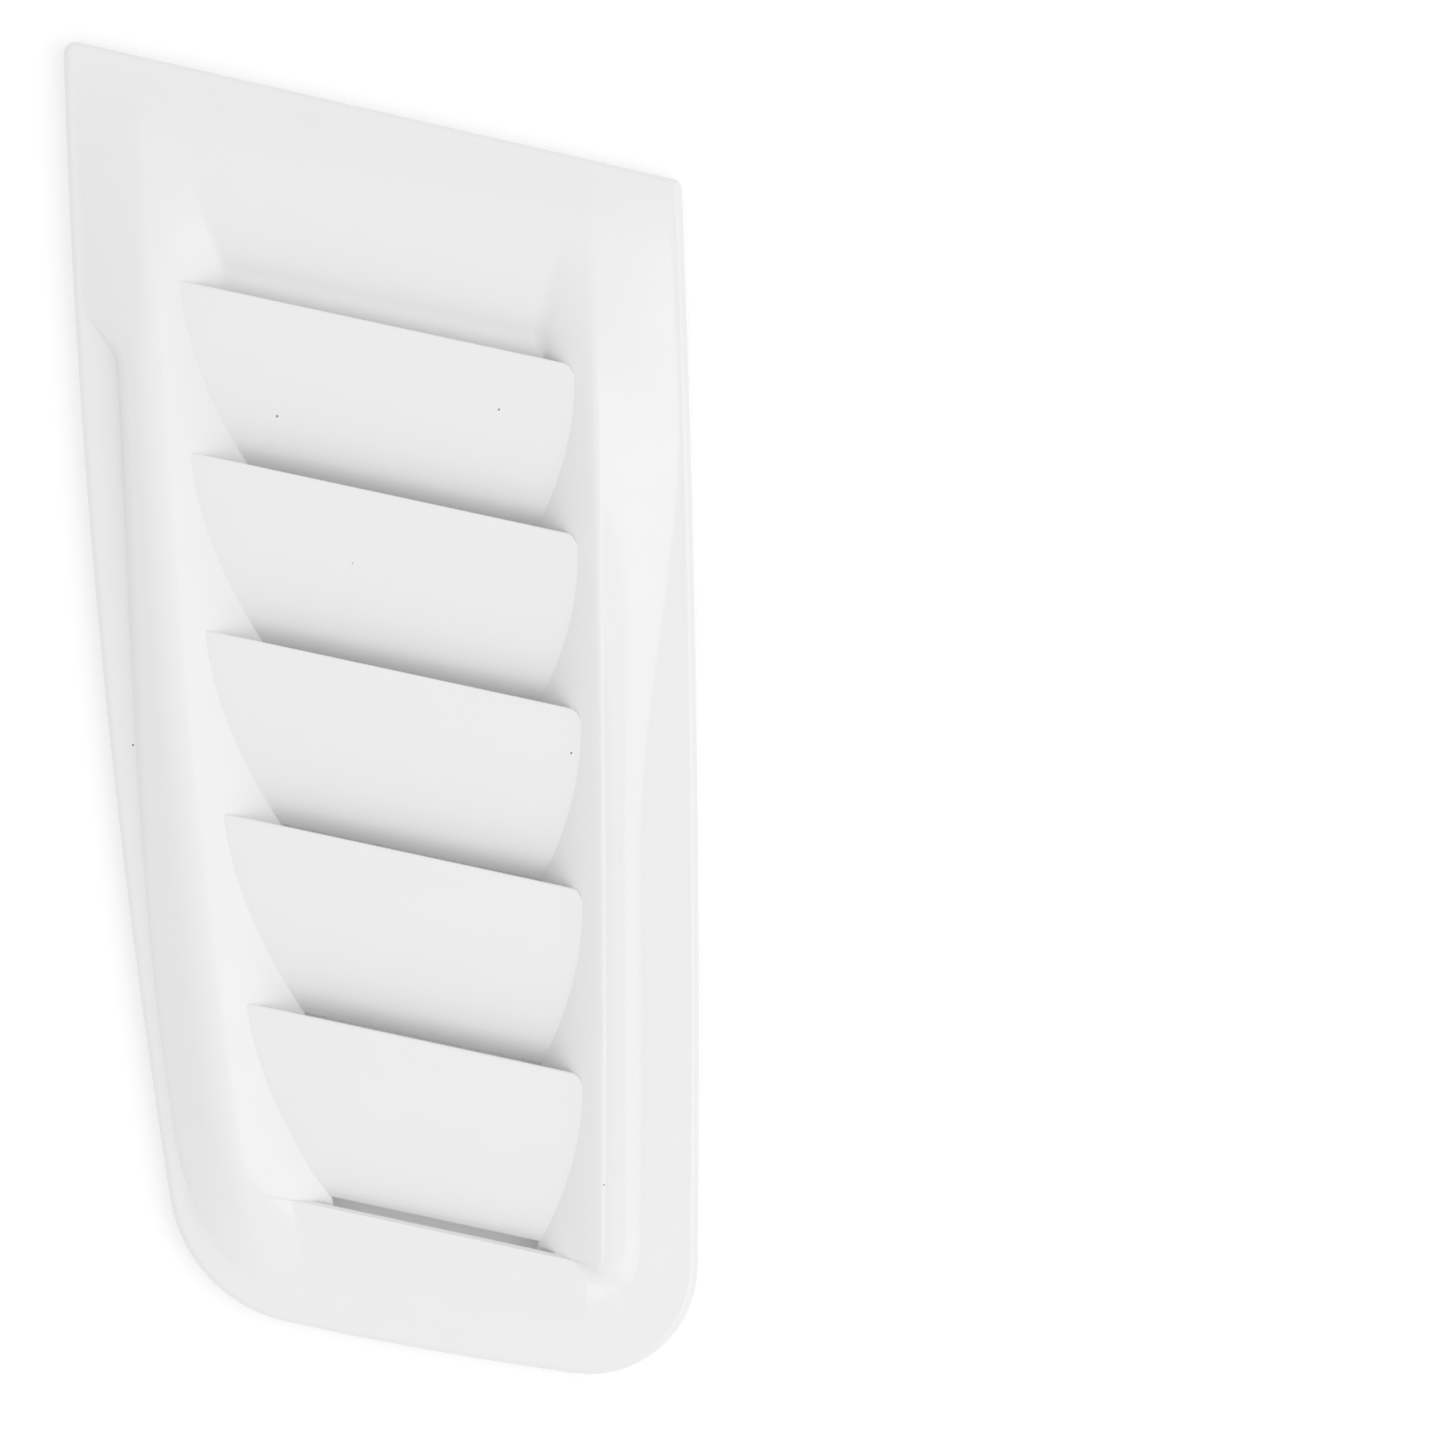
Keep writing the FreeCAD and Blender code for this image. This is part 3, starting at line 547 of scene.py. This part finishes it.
def tray_stations():
    """Stations of the rows: rear slope and first slat, window, apron, tip of the left ridge."""
    rear = spaced(REAR_FOOT, FIELD + TURN_REACH, SLOPE_STEP)
    rear += spaced(FIELD + TURN_REACH, FIELD - TURN_REACH, TURN_STEP)
    rear += spaced(FIELD - TURN_REACH, FIRST_LIP, SLOPE_STEP) + [FIRST_LIP]
    window = spaced(FIRST_LIP, FRONT_LIP, WINDOW_STEP)[1:] + [FRONT_LIP + SLOT_FACE]
    apron = spaced(FRONT_LIP, APRON_END, APRON_STEP) + [APRON_END]
    tip_end = left_tip()
    tip = spaced(APRON_END, tip_end, APRON_STEP)[1:] + [tip_end]
    return rear, window, apron, tip


def row_vertices(bm, station, points):
    """Vertices at points given across one station, as X and height."""
    vertices = []
    inset = millimetres(settings().edge_round) + FOOT_GAP
    for point in points:
        spot = Vector((point.x, station - fan(station) * point.x))
        spot = kept_in_corners(spot, inset)
        vertices.append(bm.verts.new((spot.x * MM, spot.y * MM, point.y * MM)))
    return vertices


def join_rows(bm, rows):
    """Faces from each row to the next, over the parts that both have."""
    for (left, middle, right), (next_left, next_middle, next_right) in zip(rows, rows[1:]):
        chains = [(left, next_left)]
        if right and next_right:
            chains.append((right, next_right))
        if middle and next_middle:
            chains.append(([left[-1]] + middle + [right[0]],
                           [next_left[-1]] + next_middle + [next_right[0]]))
        for here, ahead in chains:
            for number in range(len(here) - 1):
                bm.faces.new((here[number], here[number + 1], ahead[number + 1], ahead[number]))


def raised_border(rows, last):
    """The raised body's edge on the flange, anticlockwise; last is the last row across it all."""
    border = [row[0][0] for row in rows]
    border += rows[-1][0][1:]
    border += [row[0][-1] for row in reversed(rows[last:-1])]
    border += rows[last][1] + rows[last][2]
    border += [row[2][-1] for row in reversed(rows[:last])]
    border += reversed(rows[0][2][:-1])
    border += reversed(rows[0][1])
    border += reversed(rows[0][0][1:])
    return border


def edge_rings(bm):
    """Makes the rounded edge and the rim below it, and gives the ring that the flange meets."""
    rounding = millimetres(settings().edge_round)
    levels = []
    for angle in RING_ANGLES:
        angle = math.radians(angle)
        levels.append((rounding * (1 - math.sin(angle)), RIM - rounding * (1 - math.cos(angle))))
    levels.append((0.0, 0.0))
    outline = outline_points()
    rings = []
    for inset, height in levels:
        spots = [spot - out * inset for spot, out in outline]
        rings.append([bm.verts.new((spot.x * MM, spot.y * MM, height * MM)) for spot in spots])
    for upper, lower in zip(rings, rings[1:]):
        for number in range(len(upper)):
            ahead = (number + 1) % len(upper)
            bm.faces.new((upper[number], lower[number], lower[ahead], upper[ahead]))
    return rings[0]


def fill_flange(bm, border, ring):
    """Makes the flange, between the raised body's border and the rounded edge's ring."""
    spots, edges, loops = [], [], []
    for loop in (border, ring):
        first = len(spots)
        loops.append([Vector((vert.co.x / MM, vert.co.y / MM)) for vert in loop])
        spots += loops[-1]
        edges += [(first + number, first + (number + 1) % len(loop)) for number in range(len(loop))]
    coords, _, triangles, origins, _, _ = delaunay_2d_cdt(spots, edges, [], 1, SAME_CROSSING)
    owners = border + ring
    flange = [owners[origin[0]] if origin else bm.verts.new((coord.x * MM, coord.y * MM, RIM * MM))
              for coord, origin in zip(coords, origins)]
    for triangle in triangles:
        middle = sum((coords[number] for number in triangle), Vector((0, 0))) / 3
        if inside(middle, loops[1]) and not inside(middle, loops[0]):
            bm.faces.new([flange[number] for number in triangle])


def tray_mesh():
    """The panel's upper skin with its rim, open where the raised slats go."""
    rear, window, apron, tip = tray_stations()
    bm = bmesh.new()
    rows = []
    for station in rear + window + apron + tip:
        left, middle, right = row_points(station)
        left = row_vertices(bm, station, left)
        middle = row_vertices(bm, station, middle) if station in rear + apron else None
        right = row_vertices(bm, station, right) if station not in tip else None
        rows.append((left, middle, right))
    join_rows(bm, rows)
    fill_flange(bm, raised_border(rows, len(rear + window + apron) - 1), edge_rings(bm))

    bmesh.ops.remove_doubles(bm, verts=bm.verts, dist=SAME_SPOT * MM)
    bmesh.ops.dissolve_degenerate(bm, edges=bm.edges, dist=SAME_SPOT * MM)
    bmesh.ops.recalc_face_normals(bm, faces=bm.faces)
    largest = max(bm.faces, key=lambda face: face.calc_area())
    if largest.normal.z < 0:
        bmesh.ops.reverse_faces(bm, faces=bm.faces)
    mesh = bpy.data.meshes.new("vent_panel_moulding")
    bm.to_mesh(mesh)
    bm.free()
    return mesh


# The louvres: one slat for each raised edge, its ends cast sideways onto the tray's walls

MATH = "ShaderNodeMath"


def add(tree, kind, inputs=(), **settings):
    """A node with its settings and its inputs, which come in order or by name.

    Another node as an input gives its first output.
    """
    node = tree.nodes.new(kind)
    for name, value in settings.items():
        setattr(node, name, value)
    places = inputs.items() if isinstance(inputs, dict) else enumerate(inputs)
    for place, value in places:
        if isinstance(value, bpy.types.Node):
            value = value.outputs[0]
        if isinstance(value, bpy.types.NodeSocket):
            tree.links.new(value, node.inputs[place])
        else:
            node.inputs[place].default_value = value
    return node


LOUVRE_INPUTS = [
    ("Slats", "NodeSocketInt"), ("First edge", "NodeSocketFloat"),
    ("First pitch", "NodeSocketFloat"), ("Pitch growth", "NodeSocketFloat"),
    ("Rear height", "NodeSocketFloat"), ("Front height", "NodeSocketFloat"),
    ("Field length", "NodeSocketFloat"), ("Open slot", "NodeSocketFloat"),
    ("Drop", "NodeSocketFloat"), ("Flat share", "NodeSocketFloat"),
    ("Wall", "NodeSocketFloat"), ("Edge rounding", "NodeSocketFloat"),
    ("Corner rounding", "NodeSocketFloat"), ("Sweep", "NodeSocketFloat"),
    ("Middle", "NodeSocketFloat"), ("Buried", "NodeSocketFloat"),
    ("Plastic", "NodeSocketMaterial"),
]
ACROSS = 90
ALONG = 44
# Crowds the points of a slat towards its raised edge
CROWDING = 1.8
# Longest reach from the middle line to a wall, in metres
LONGEST_CAST = 0.2


def fall_back(tree, rounding, distance):
    """How far a rounded corner falls back at a distance from its end."""
    within = add(tree, MATH, [rounding, distance], operation="SUBTRACT")
    within = add(tree, MATH, [within, 0.0], operation="MAXIMUM")
    within = add(tree, MATH, [within, rounding], operation="MINIMUM")
    within_squared = add(tree, MATH, [within, within], operation="MULTIPLY")
    rounding_squared = add(tree, MATH, [rounding, rounding], operation="MULTIPLY")
    chord = add(tree, MATH, [rounding_squared, within_squared], operation="SUBTRACT")
    chord = add(tree, MATH, [chord], operation="SQRT")
    return add(tree, MATH, [rounding, chord], operation="SUBTRACT")


def louvre_tree():
    """Adds the raised slats to the tray that the modifier is on."""
    tree = bpy.data.node_groups.new("louvres", "GeometryNodeTree")
    sockets = tree.interface
    sockets.new_socket("Tray", in_out="INPUT", socket_type="NodeSocketGeometry")
    for name, kind in LOUVRE_INPUTS:
        sockets.new_socket(name, in_out="INPUT", socket_type=kind)
    sockets.new_socket("Panel", in_out="OUTPUT", socket_type="NodeSocketGeometry")
    given = tree.nodes.new("NodeGroupInput").outputs

    # One cube of points for each slat, numbered from the rear
    line = add(tree, "GeometryNodeMeshLine", {"Count": given["Slats"], "Offset": (0, 0, 0)})
    number = add(tree, "GeometryNodeInputIndex")
    marked = add(tree, "GeometryNodeStoreNamedAttribute",
                 {"Geometry": line, "Name": "slat", "Value": number},
                 data_type="INT", domain="POINT")
    cube = add(tree, "GeometryNodeMeshCube",
               {"Size": (1, 1, 1), "Vertices X": ACROSS, "Vertices Y": ALONG, "Vertices Z": 2})
    placed = add(tree, "GeometryNodeInstanceOnPoints", {"Points": marked, "Instance": cube})
    solid = add(tree, "GeometryNodeRealizeInstances", [placed])
    slat = add(tree, "GeometryNodeInputNamedAttribute", {"Name": "slat"}, data_type="INT")
    slat = slat.outputs["Attribute"]

    # Where the slat's raised edge lies, its length and its height
    before = add(tree, MATH, [slat, 1.0], operation="SUBTRACT")
    pairs = add(tree, MATH, [slat, before], operation="MULTIPLY")
    pairs = add(tree, MATH, [pairs, 0.5], operation="MULTIPLY")
    grown = add(tree, MATH, [pairs, given["Pitch growth"]], operation="MULTIPLY")
    behind = add(tree, MATH, [slat, given["First pitch"], grown], operation="MULTIPLY_ADD")
    start = add(tree, MATH, [given["First edge"], behind], operation="SUBTRACT")
    full = add(tree, MATH, [slat, given["Pitch growth"], given["First pitch"]],
               operation="MULTIPLY_ADD")
    last = add(tree, MATH, [given["Slats"], 1.0], operation="SUBTRACT")
    foremost = add(tree, MATH, [slat, last, 0.5], operation="COMPARE")
    slot = add(tree, MATH, [foremost, given["Open slot"]], operation="MULTIPLY")
    length = add(tree, MATH, [full, slot], operation="SUBTRACT")
    climb = add(tree, MATH, [given["Front height"], given["Rear height"]], operation="SUBTRACT")
    climbed = add(tree, MATH, [behind, given["Field length"]], operation="DIVIDE")
    height = add(tree, MATH, [climb, climbed, given["Rear height"]], operation="MULTIPLY_ADD")

    # How far across, how far along from the raised edge, and which face
    place = add(tree, "ShaderNodeSeparateXYZ", [add(tree, "GeometryNodeInputPosition")]).outputs
    across = add(tree, MATH, [place[0], 0.5], operation="ADD")
    even = add(tree, MATH, [0.5, place[1]], operation="SUBTRACT")
    even = add(tree, MATH, [even, 0.0], operation="MAXIMUM")
    along = add(tree, MATH, [even, CROWDING], operation="POWER")
    lower = add(tree, MATH, [place[2], 0.0], operation="LESS_THAN")
    travelled = add(tree, MATH, [along, length], operation="MULTIPLY")

    # The section: flat, then an arc that falls by the drop, square to the sweep
    angle = add(tree, MATH, [given["Sweep"]], operation="ARCTANGENT")
    cosine = add(tree, MATH, [angle], operation="COSINE")
    square_length = add(tree, MATH, [length, cosine], operation="MULTIPLY")
    square = add(tree, MATH, [travelled, cosine], operation="MULTIPLY")
    flat = add(tree, MATH, [square_length, given["Flat share"]], operation="MULTIPLY")
    run = add(tree, MATH, [square_length, flat], operation="SUBTRACT")
    run_squared = add(tree, MATH, [run, run], operation="MULTIPLY")
    squares = add(tree, MATH, [given["Drop"], given["Drop"], run_squared], operation="MULTIPLY_ADD")
    double_drop = add(tree, MATH, [given["Drop"], 2.0], operation="MULTIPLY")
    radius = add(tree, MATH, [squares, double_drop], operation="DIVIDE")
    beyond = add(tree, MATH, [square, flat], operation="SUBTRACT")
    beyond = add(tree, MATH, [beyond, 0.0], operation="MAXIMUM")
    beyond_squared = add(tree, MATH, [beyond, beyond], operation="MULTIPLY")
    centre = add(tree, MATH, [height, radius], operation="SUBTRACT")
    thickness = add(tree, MATH, [lower, given["Wall"]], operation="MULTIPLY")
    face_radius = add(tree, MATH, [radius, thickness], operation="SUBTRACT")
    heights = []
    for arc_radius in (face_radius, radius):
        radius_squared = add(tree, MATH, [arc_radius, arc_radius], operation="MULTIPLY")
        reach = add(tree, MATH, [radius_squared, beyond_squared], operation="SUBTRACT")
        reach = add(tree, MATH, [reach], operation="SQRT")
        heights.append(add(tree, MATH, [centre, reach], operation="ADD"))
    section, upper = heights

    # The rounding of the raised edge, on the upper face only
    rounded = fall_back(tree, given["Edge rounding"], square)
    above = add(tree, MATH, [1.0, lower], operation="SUBTRACT")
    rounded = add(tree, MATH, [rounded, above], operation="MULTIPLY")
    section = add(tree, MATH, [section, rounded], operation="SUBTRACT")

    # The ends: cast from the middle line onto the walls at the upper face's height
    station = add(tree, MATH, [start, travelled], operation="SUBTRACT")
    swept = add(tree, MATH, [given["Sweep"], given["Middle"]], operation="MULTIPLY")
    middle_y = add(tree, MATH, [station, swept], operation="SUBTRACT")
    source = add(tree, "ShaderNodeCombineXYZ", [given["Middle"], middle_y, upper])
    ends = []
    for sign in (-1.0, 1.0):
        lean = add(tree, MATH, [given["Sweep"], -sign], operation="MULTIPLY")
        direction = add(tree, "ShaderNodeCombineXYZ", [sign, lean, 0.0])
        cast = add(tree, "GeometryNodeRaycast",
                   {"Target Geometry": given["Tray"], "Source Position": source,
                    "Ray Direction": direction, "Ray Length": LONGEST_CAST})
        hit = add(tree, "ShaderNodeSeparateXYZ", [cast.outputs["Hit Position"]])
        ends.append(add(tree, MATH, [given["Buried"], sign, hit], operation="MULTIPLY_ADD"))
    width = add(tree, MATH, [ends[1], ends[0]], operation="SUBTRACT")
    x = add(tree, MATH, [width, across, ends[0]], operation="MULTIPLY_ADD")

    # The right corner of the raised edge, rounded in plan where it meets the wall
    left_over = add(tree, MATH, [1.0, across], operation="SUBTRACT")
    from_end = add(tree, MATH, [width, left_over], operation="MULTIPLY")
    from_end = add(tree, MATH, [from_end, given["Buried"]], operation="SUBTRACT")
    cut = fall_back(tree, given["Corner rounding"], from_end)
    near_edge = add(tree, MATH, [1.0, even], operation="SUBTRACT")
    cut = add(tree, MATH, [cut, near_edge], operation="MULTIPLY")

    swept = add(tree, MATH, [given["Sweep"], x], operation="MULTIPLY")
    y = add(tree, MATH, [station, swept], operation="SUBTRACT")
    y = add(tree, MATH, [y, cut], operation="SUBTRACT")
    spot = add(tree, "ShaderNodeCombineXYZ", [x, y, section])
    shaped = add(tree, "GeometryNodeSetPosition", {"Geometry": solid, "Position": spot})
    bare = add(tree, "GeometryNodeRemoveAttribute", {"Geometry": shaped, "Name": "slat"})
    joined = add(tree, "GeometryNodeJoinGeometry", [bare])
    tree.links.new(given["Tray"], joined.inputs[0])
    realized = add(tree, "GeometryNodeRealizeInstances", [joined])
    coloured = add(tree, "GeometryNodeSetMaterial",
                   {"Geometry": realized, "Material": given["Plastic"]})
    add(tree, "NodeGroupOutput", [coloured])
    return tree


# How far a slat's ends run into the walls, and the X that they are cast from
SLAT_BURIED = 1.3
SLAT_MIDDLE = 8.0


def louvre_values():
    """Values of the louvre tree's inputs, in metres."""
    sizes = settings()
    return {
        "Slats": LIPS,
        "First edge": FIRST_LIP * MM,
        "First pitch": FIRST_PITCH * MM,
        "Pitch growth": PITCH_GROWTH * MM,
        "Rear height": REAR_LIP_HEIGHT * MM,
        "Front height": FRONT_LIP_HEIGHT * MM,
        "Field length": (FIRST_LIP - FRONT_LIP) * MM,
        "Open slot": sizes.open_slot,
        "Drop": sizes.slat_drop,
        "Flat share": sizes.flat_share,
        "Wall": sizes.slat_wall,
        "Edge rounding": sizes.lip_round,
        "Corner rounding": sizes.corner_round,
        "Sweep": SWEEP,
        "Middle": SLAT_MIDDLE * MM,
        "Buried": SLAT_BURIED * MM,
        "Plastic": moulded_abs(),
    }


# The finish

SPECK = "#4a4a48"
SPECK_STRENGTH = 0.75
SPECK_CORE = 0.7
# Specks of dirt: X and Y in the frame, and the radius
SPECKS = [(-31.4, 89.0, 0.45), (36.5, 90.8, 0.4), (-75.8, -11.4, 0.4), (58.6, -13.8, 0.4),
          (-8.1, 44.0, 0.25), (68.7, -144.5, 0.3)]
ABS_IOR = 1.54
FLOW_SIZE = 14.0
FLOW_LOW, FLOW_HIGH = 0.3, 0.7
GLOSS_VARIES = 0.15
PEEL_SIZE = 1.6
PEEL_STRENGTH = 0.05
PEEL_DEPTH = 0.05
UNEVEN = 0.985
# Places of the colour sockets on a Mix node
COLOUR_A, COLOUR_B, COLOUR_RESULT = 6, 7, 2


def moulded_abs():
    """Injection-moulded ABS, glossy white.

    The polished tool gives it a clear, slightly soft gloss, with a faint orange peel and a
    broader unevenness where the melt flowed.
    """
    material = bpy.data.materials.get("abs_moulded_gloss_white")
    if material:
        return material
    finish = bpy.context.scene.vent_finish
    material = bpy.data.materials.new("abs_moulded_gloss_white")
    material.use_nodes = True
    tree = material.node_tree
    shader = tree.nodes["Principled BSDF"]
    shader.inputs["IOR"].default_value = ABS_IOR
    place = add(tree, "ShaderNodeTexCoord").outputs["Object"]

    # Roughness that wanders a little with the melt's flow
    flow = add(tree, "ShaderNodeTexNoise",
               {"Vector": place, "Scale": 1 / (FLOW_SIZE * MM), "Detail": 2.0})
    rough = add(tree, "ShaderNodeMapRange",
                {"Value": flow, "From Min": FLOW_LOW, "From Max": FLOW_HIGH,
                 "To Min": finish.roughness * (1 - GLOSS_VARIES),
                 "To Max": finish.roughness * (1 + GLOSS_VARIES)})
    tree.links.new(rough.outputs[0], shader.inputs["Roughness"])

    # Orange peel, drawn a little coarser than the real one so that it shows
    peel = add(tree, "ShaderNodeTexNoise",
               {"Vector": place, "Scale": 1 / (PEEL_SIZE * MM), "Detail": 1.0})
    bump = add(tree, "ShaderNodeBump",
               {"Height": peel, "Strength": PEEL_STRENGTH, "Distance": PEEL_DEPTH * MM})
    tree.links.new(bump.outputs[0], shader.inputs["Normal"])

    # The white, a trace uneven, with the specks of dirt on it
    colour = add(tree, "ShaderNodeMix",
                 {0: flow, COLOUR_A: [*finish.plastic, 1.0],
                  COLOUR_B: [value * UNEVEN for value in finish.plastic] + [1.0]}, data_type="RGBA")
    flat = add(tree, "ShaderNodeVectorMath", [place, (1, 1, 0)], operation="MULTIPLY")
    for x, y, size in SPECKS:
        away = add(tree, "ShaderNodeVectorMath", [flat, (x * MM, y * MM, 0)], operation="DISTANCE")
        share = add(tree, "ShaderNodeMapRange",
                    {"Value": away.outputs["Value"], "From Min": size * MM * SPECK_CORE,
                     "From Max": size * MM, "To Min": SPECK_STRENGTH, "To Max": 0.0})
        colour = add(tree, "ShaderNodeMix",
                     {0: share, COLOUR_A: colour.outputs[COLOUR_RESULT], COLOUR_B: linear(SPECK)},
                     data_type="RGBA")
    colour = colour.outputs[COLOUR_RESULT]
    tree.links.new(colour, shader.inputs["Base Color"])
    return material


# Operators

SHARP_ANGLE = math.radians(38)


def link(name, data):
    item = bpy.data.objects.new(name, data)
    bpy.context.scene.collection.objects.link(item)
    return item


def finished_mesh(item):
    """The object's mesh with its modifiers applied, shaded smooth but for its real corners."""
    evaluated = item.evaluated_get(bpy.context.evaluated_depsgraph_get())
    mesh = bpy.data.meshes.new_from_object(evaluated)
    item.modifiers.clear()
    bm = bmesh.new()
    bm.from_mesh(mesh)
    for face in bm.faces:
        face.smooth = True
    for edge in bm.edges:
        if len(edge.link_faces) == 2 and edge.calc_face_angle(0.0) > SHARP_ANGLE:
            edge.smooth = False
    bm.to_mesh(mesh)
    bm.free()
    return mesh


class VENT_OT_panel(bpy.types.Operator):
    """Makes the moulded panel: rim, flange, ridges, rear slope, apron and louvre slats"""
    bl_idname = "vent.panel"
    bl_label = "Make panel"

    def execute(self, context):
        panel = link("vent_panel_moulding", tray_mesh())
        wall = panel.modifiers.new("wall", "SOLIDIFY")
        wall.thickness = settings().wall
        wall.offset = -1.0
        louvres = panel.modifiers.new("louvres", "NODES")
        louvres.node_group = louvre_tree()
        sockets = {item.name: item.identifier for item in louvres.node_group.interface.items_tree
                   if item.in_out == "INPUT"}
        for name, value in louvre_values().items():
            louvres[sockets[name]] = value
        panel.data = finished_mesh(panel)
        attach(panel, "root")
        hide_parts("vent_panel")
        return {"FINISHED"}


# Camera, in millimetres: its place from above, and what the picture spans at the flange
CAMERA_X = 104.6
CAMERA_Y = -4.5
FRAME_WIDTH = 442.2
# Floor, in metres: its side
FLOOR_SIZE = 6.0
FLOOR_WHITE = "#eeeeee"
FLOOR_ROUGHNESS = 0.9
FLOOR_GLOW = 0.2
# Softbox, in metres: its width and depth, and its place to the right, towards the front and up
SOFTBOX_SIZE = (1.6, 1.2)
SOFTBOX_PLACE = (1.1, -0.35, 1.3)


def white_floor():
    """Matt white floor that renders white and keeps the shadow on it."""
    material = bpy.data.materials.new("floor_matt_white")
    material.use_nodes = True
    tree = material.node_tree
    shader = tree.nodes["Principled BSDF"]
    shader.inputs["Base Color"].default_value = linear(FLOOR_WHITE)
    shader.inputs["Roughness"].default_value = FLOOR_ROUGHNESS
    rays = add(tree, "ShaderNodeLightPath").outputs
    seen = add(tree, MATH, [rays["Is Camera Ray"], rays["Is Glossy Ray"]], operation="MAXIMUM")
    seen = add(tree, MATH, [seen, rays["Is Transmission Ray"]], operation="MAXIMUM")
    glow = add(tree, MATH, [seen, FLOOR_GLOW], operation="MULTIPLY")
    shader.inputs["Emission Color"].default_value = linear(WHITE)
    tree.links.new(glow.outputs[0], shader.inputs["Emission Strength"])
    return material


class VENT_OT_stage(bpy.types.Operator):
    """Makes the floor, the soft light and the camera straight above"""
    bl_idname = "vent.stage"
    bl_label = "Make stage"

    def execute(self, context):
        stage = context.scene.vent_stage
        half = FLOOR_SIZE / 2
        floor_mesh = bpy.data.meshes.new("floor")
        floor_mesh.from_pydata([(-half, -half, 0), (half, -half, 0), (half, half, 0),
                                (-half, half, 0)], [], [(0, 1, 2, 3)])
        floor_mesh.materials.append(white_floor())
        link("floor", floor_mesh)

        world = bpy.data.worlds.new("soft_room")
        world.use_nodes = True
        sky = world.node_tree.nodes["Background"]
        sky.inputs["Color"].default_value = linear(WHITE)
        sky.inputs["Strength"].default_value = stage.sky
        context.scene.world = world

        lamp = bpy.data.lights.new("softbox", "AREA")
        lamp.shape = "RECTANGLE"
        lamp.size, lamp.size_y = SOFTBOX_SIZE
        lamp.energy = stage.softbox
        softbox = link("softbox", lamp)
        softbox.location = SOFTBOX_PLACE
        aim = -Vector(SOFTBOX_PLACE)
        softbox.rotation_euler = aim.to_track_quat("-Z", "Y").to_euler()

        lens = bpy.data.cameras.new("camera")
        lens.sensor_fit = "HORIZONTAL"
        lens.angle = 2 * math.atan(FRAME_WIDTH * MM / 2 / stage.camera_height)
        camera = link("camera", lens)
        camera.location = (CAMERA_X * MM, CAMERA_Y * MM, stage.camera_height + RIM * MM)
        context.scene.camera = camera
        context.scene.view_settings.view_transform = "Standard"
        return {"FINISHED"}


class VENT_PT_sidebar(bpy.types.Panel):
    """Lists the vent's operators and settings"""
    bl_label = "Bonnet vent"
    bl_idname = "VENT_PT_sidebar"
    bl_space_type = "VIEW_3D"
    bl_region_type = "UI"
    bl_category = "Vent"

    def draw(self, context):
        layout = self.layout
        layout.operator(VENT_OT_panel.bl_idname)
        layout.operator(VENT_OT_stage.bl_idname)
        for group in (context.scene.vent_sizes, context.scene.vent_finish, context.scene.vent_stage):
            box = layout.box()
            for name in group.__annotations__:
                box.prop(group, name)


CLASSES = (VentSizes, VentFinish, VentStage, VENT_OT_panel, VENT_OT_stage, VENT_PT_sidebar)


def register():
    for item in CLASSES:
        bpy.utils.register_class(item)
    bpy.types.Scene.vent_sizes = PointerProperty(type=VentSizes)
    bpy.types.Scene.vent_finish = PointerProperty(type=VentFinish)
    bpy.types.Scene.vent_stage = PointerProperty(type=VentStage)


def unregister():
    del bpy.types.Scene.vent_stage
    del bpy.types.Scene.vent_finish
    del bpy.types.Scene.vent_sizes
    for item in reversed(CLASSES):
        bpy.utils.unregister_class(item)


def main():
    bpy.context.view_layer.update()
    register()
    bpy.ops.vent.panel()
    bpy.ops.vent.stage()


if __name__ == "__main__":
    main()
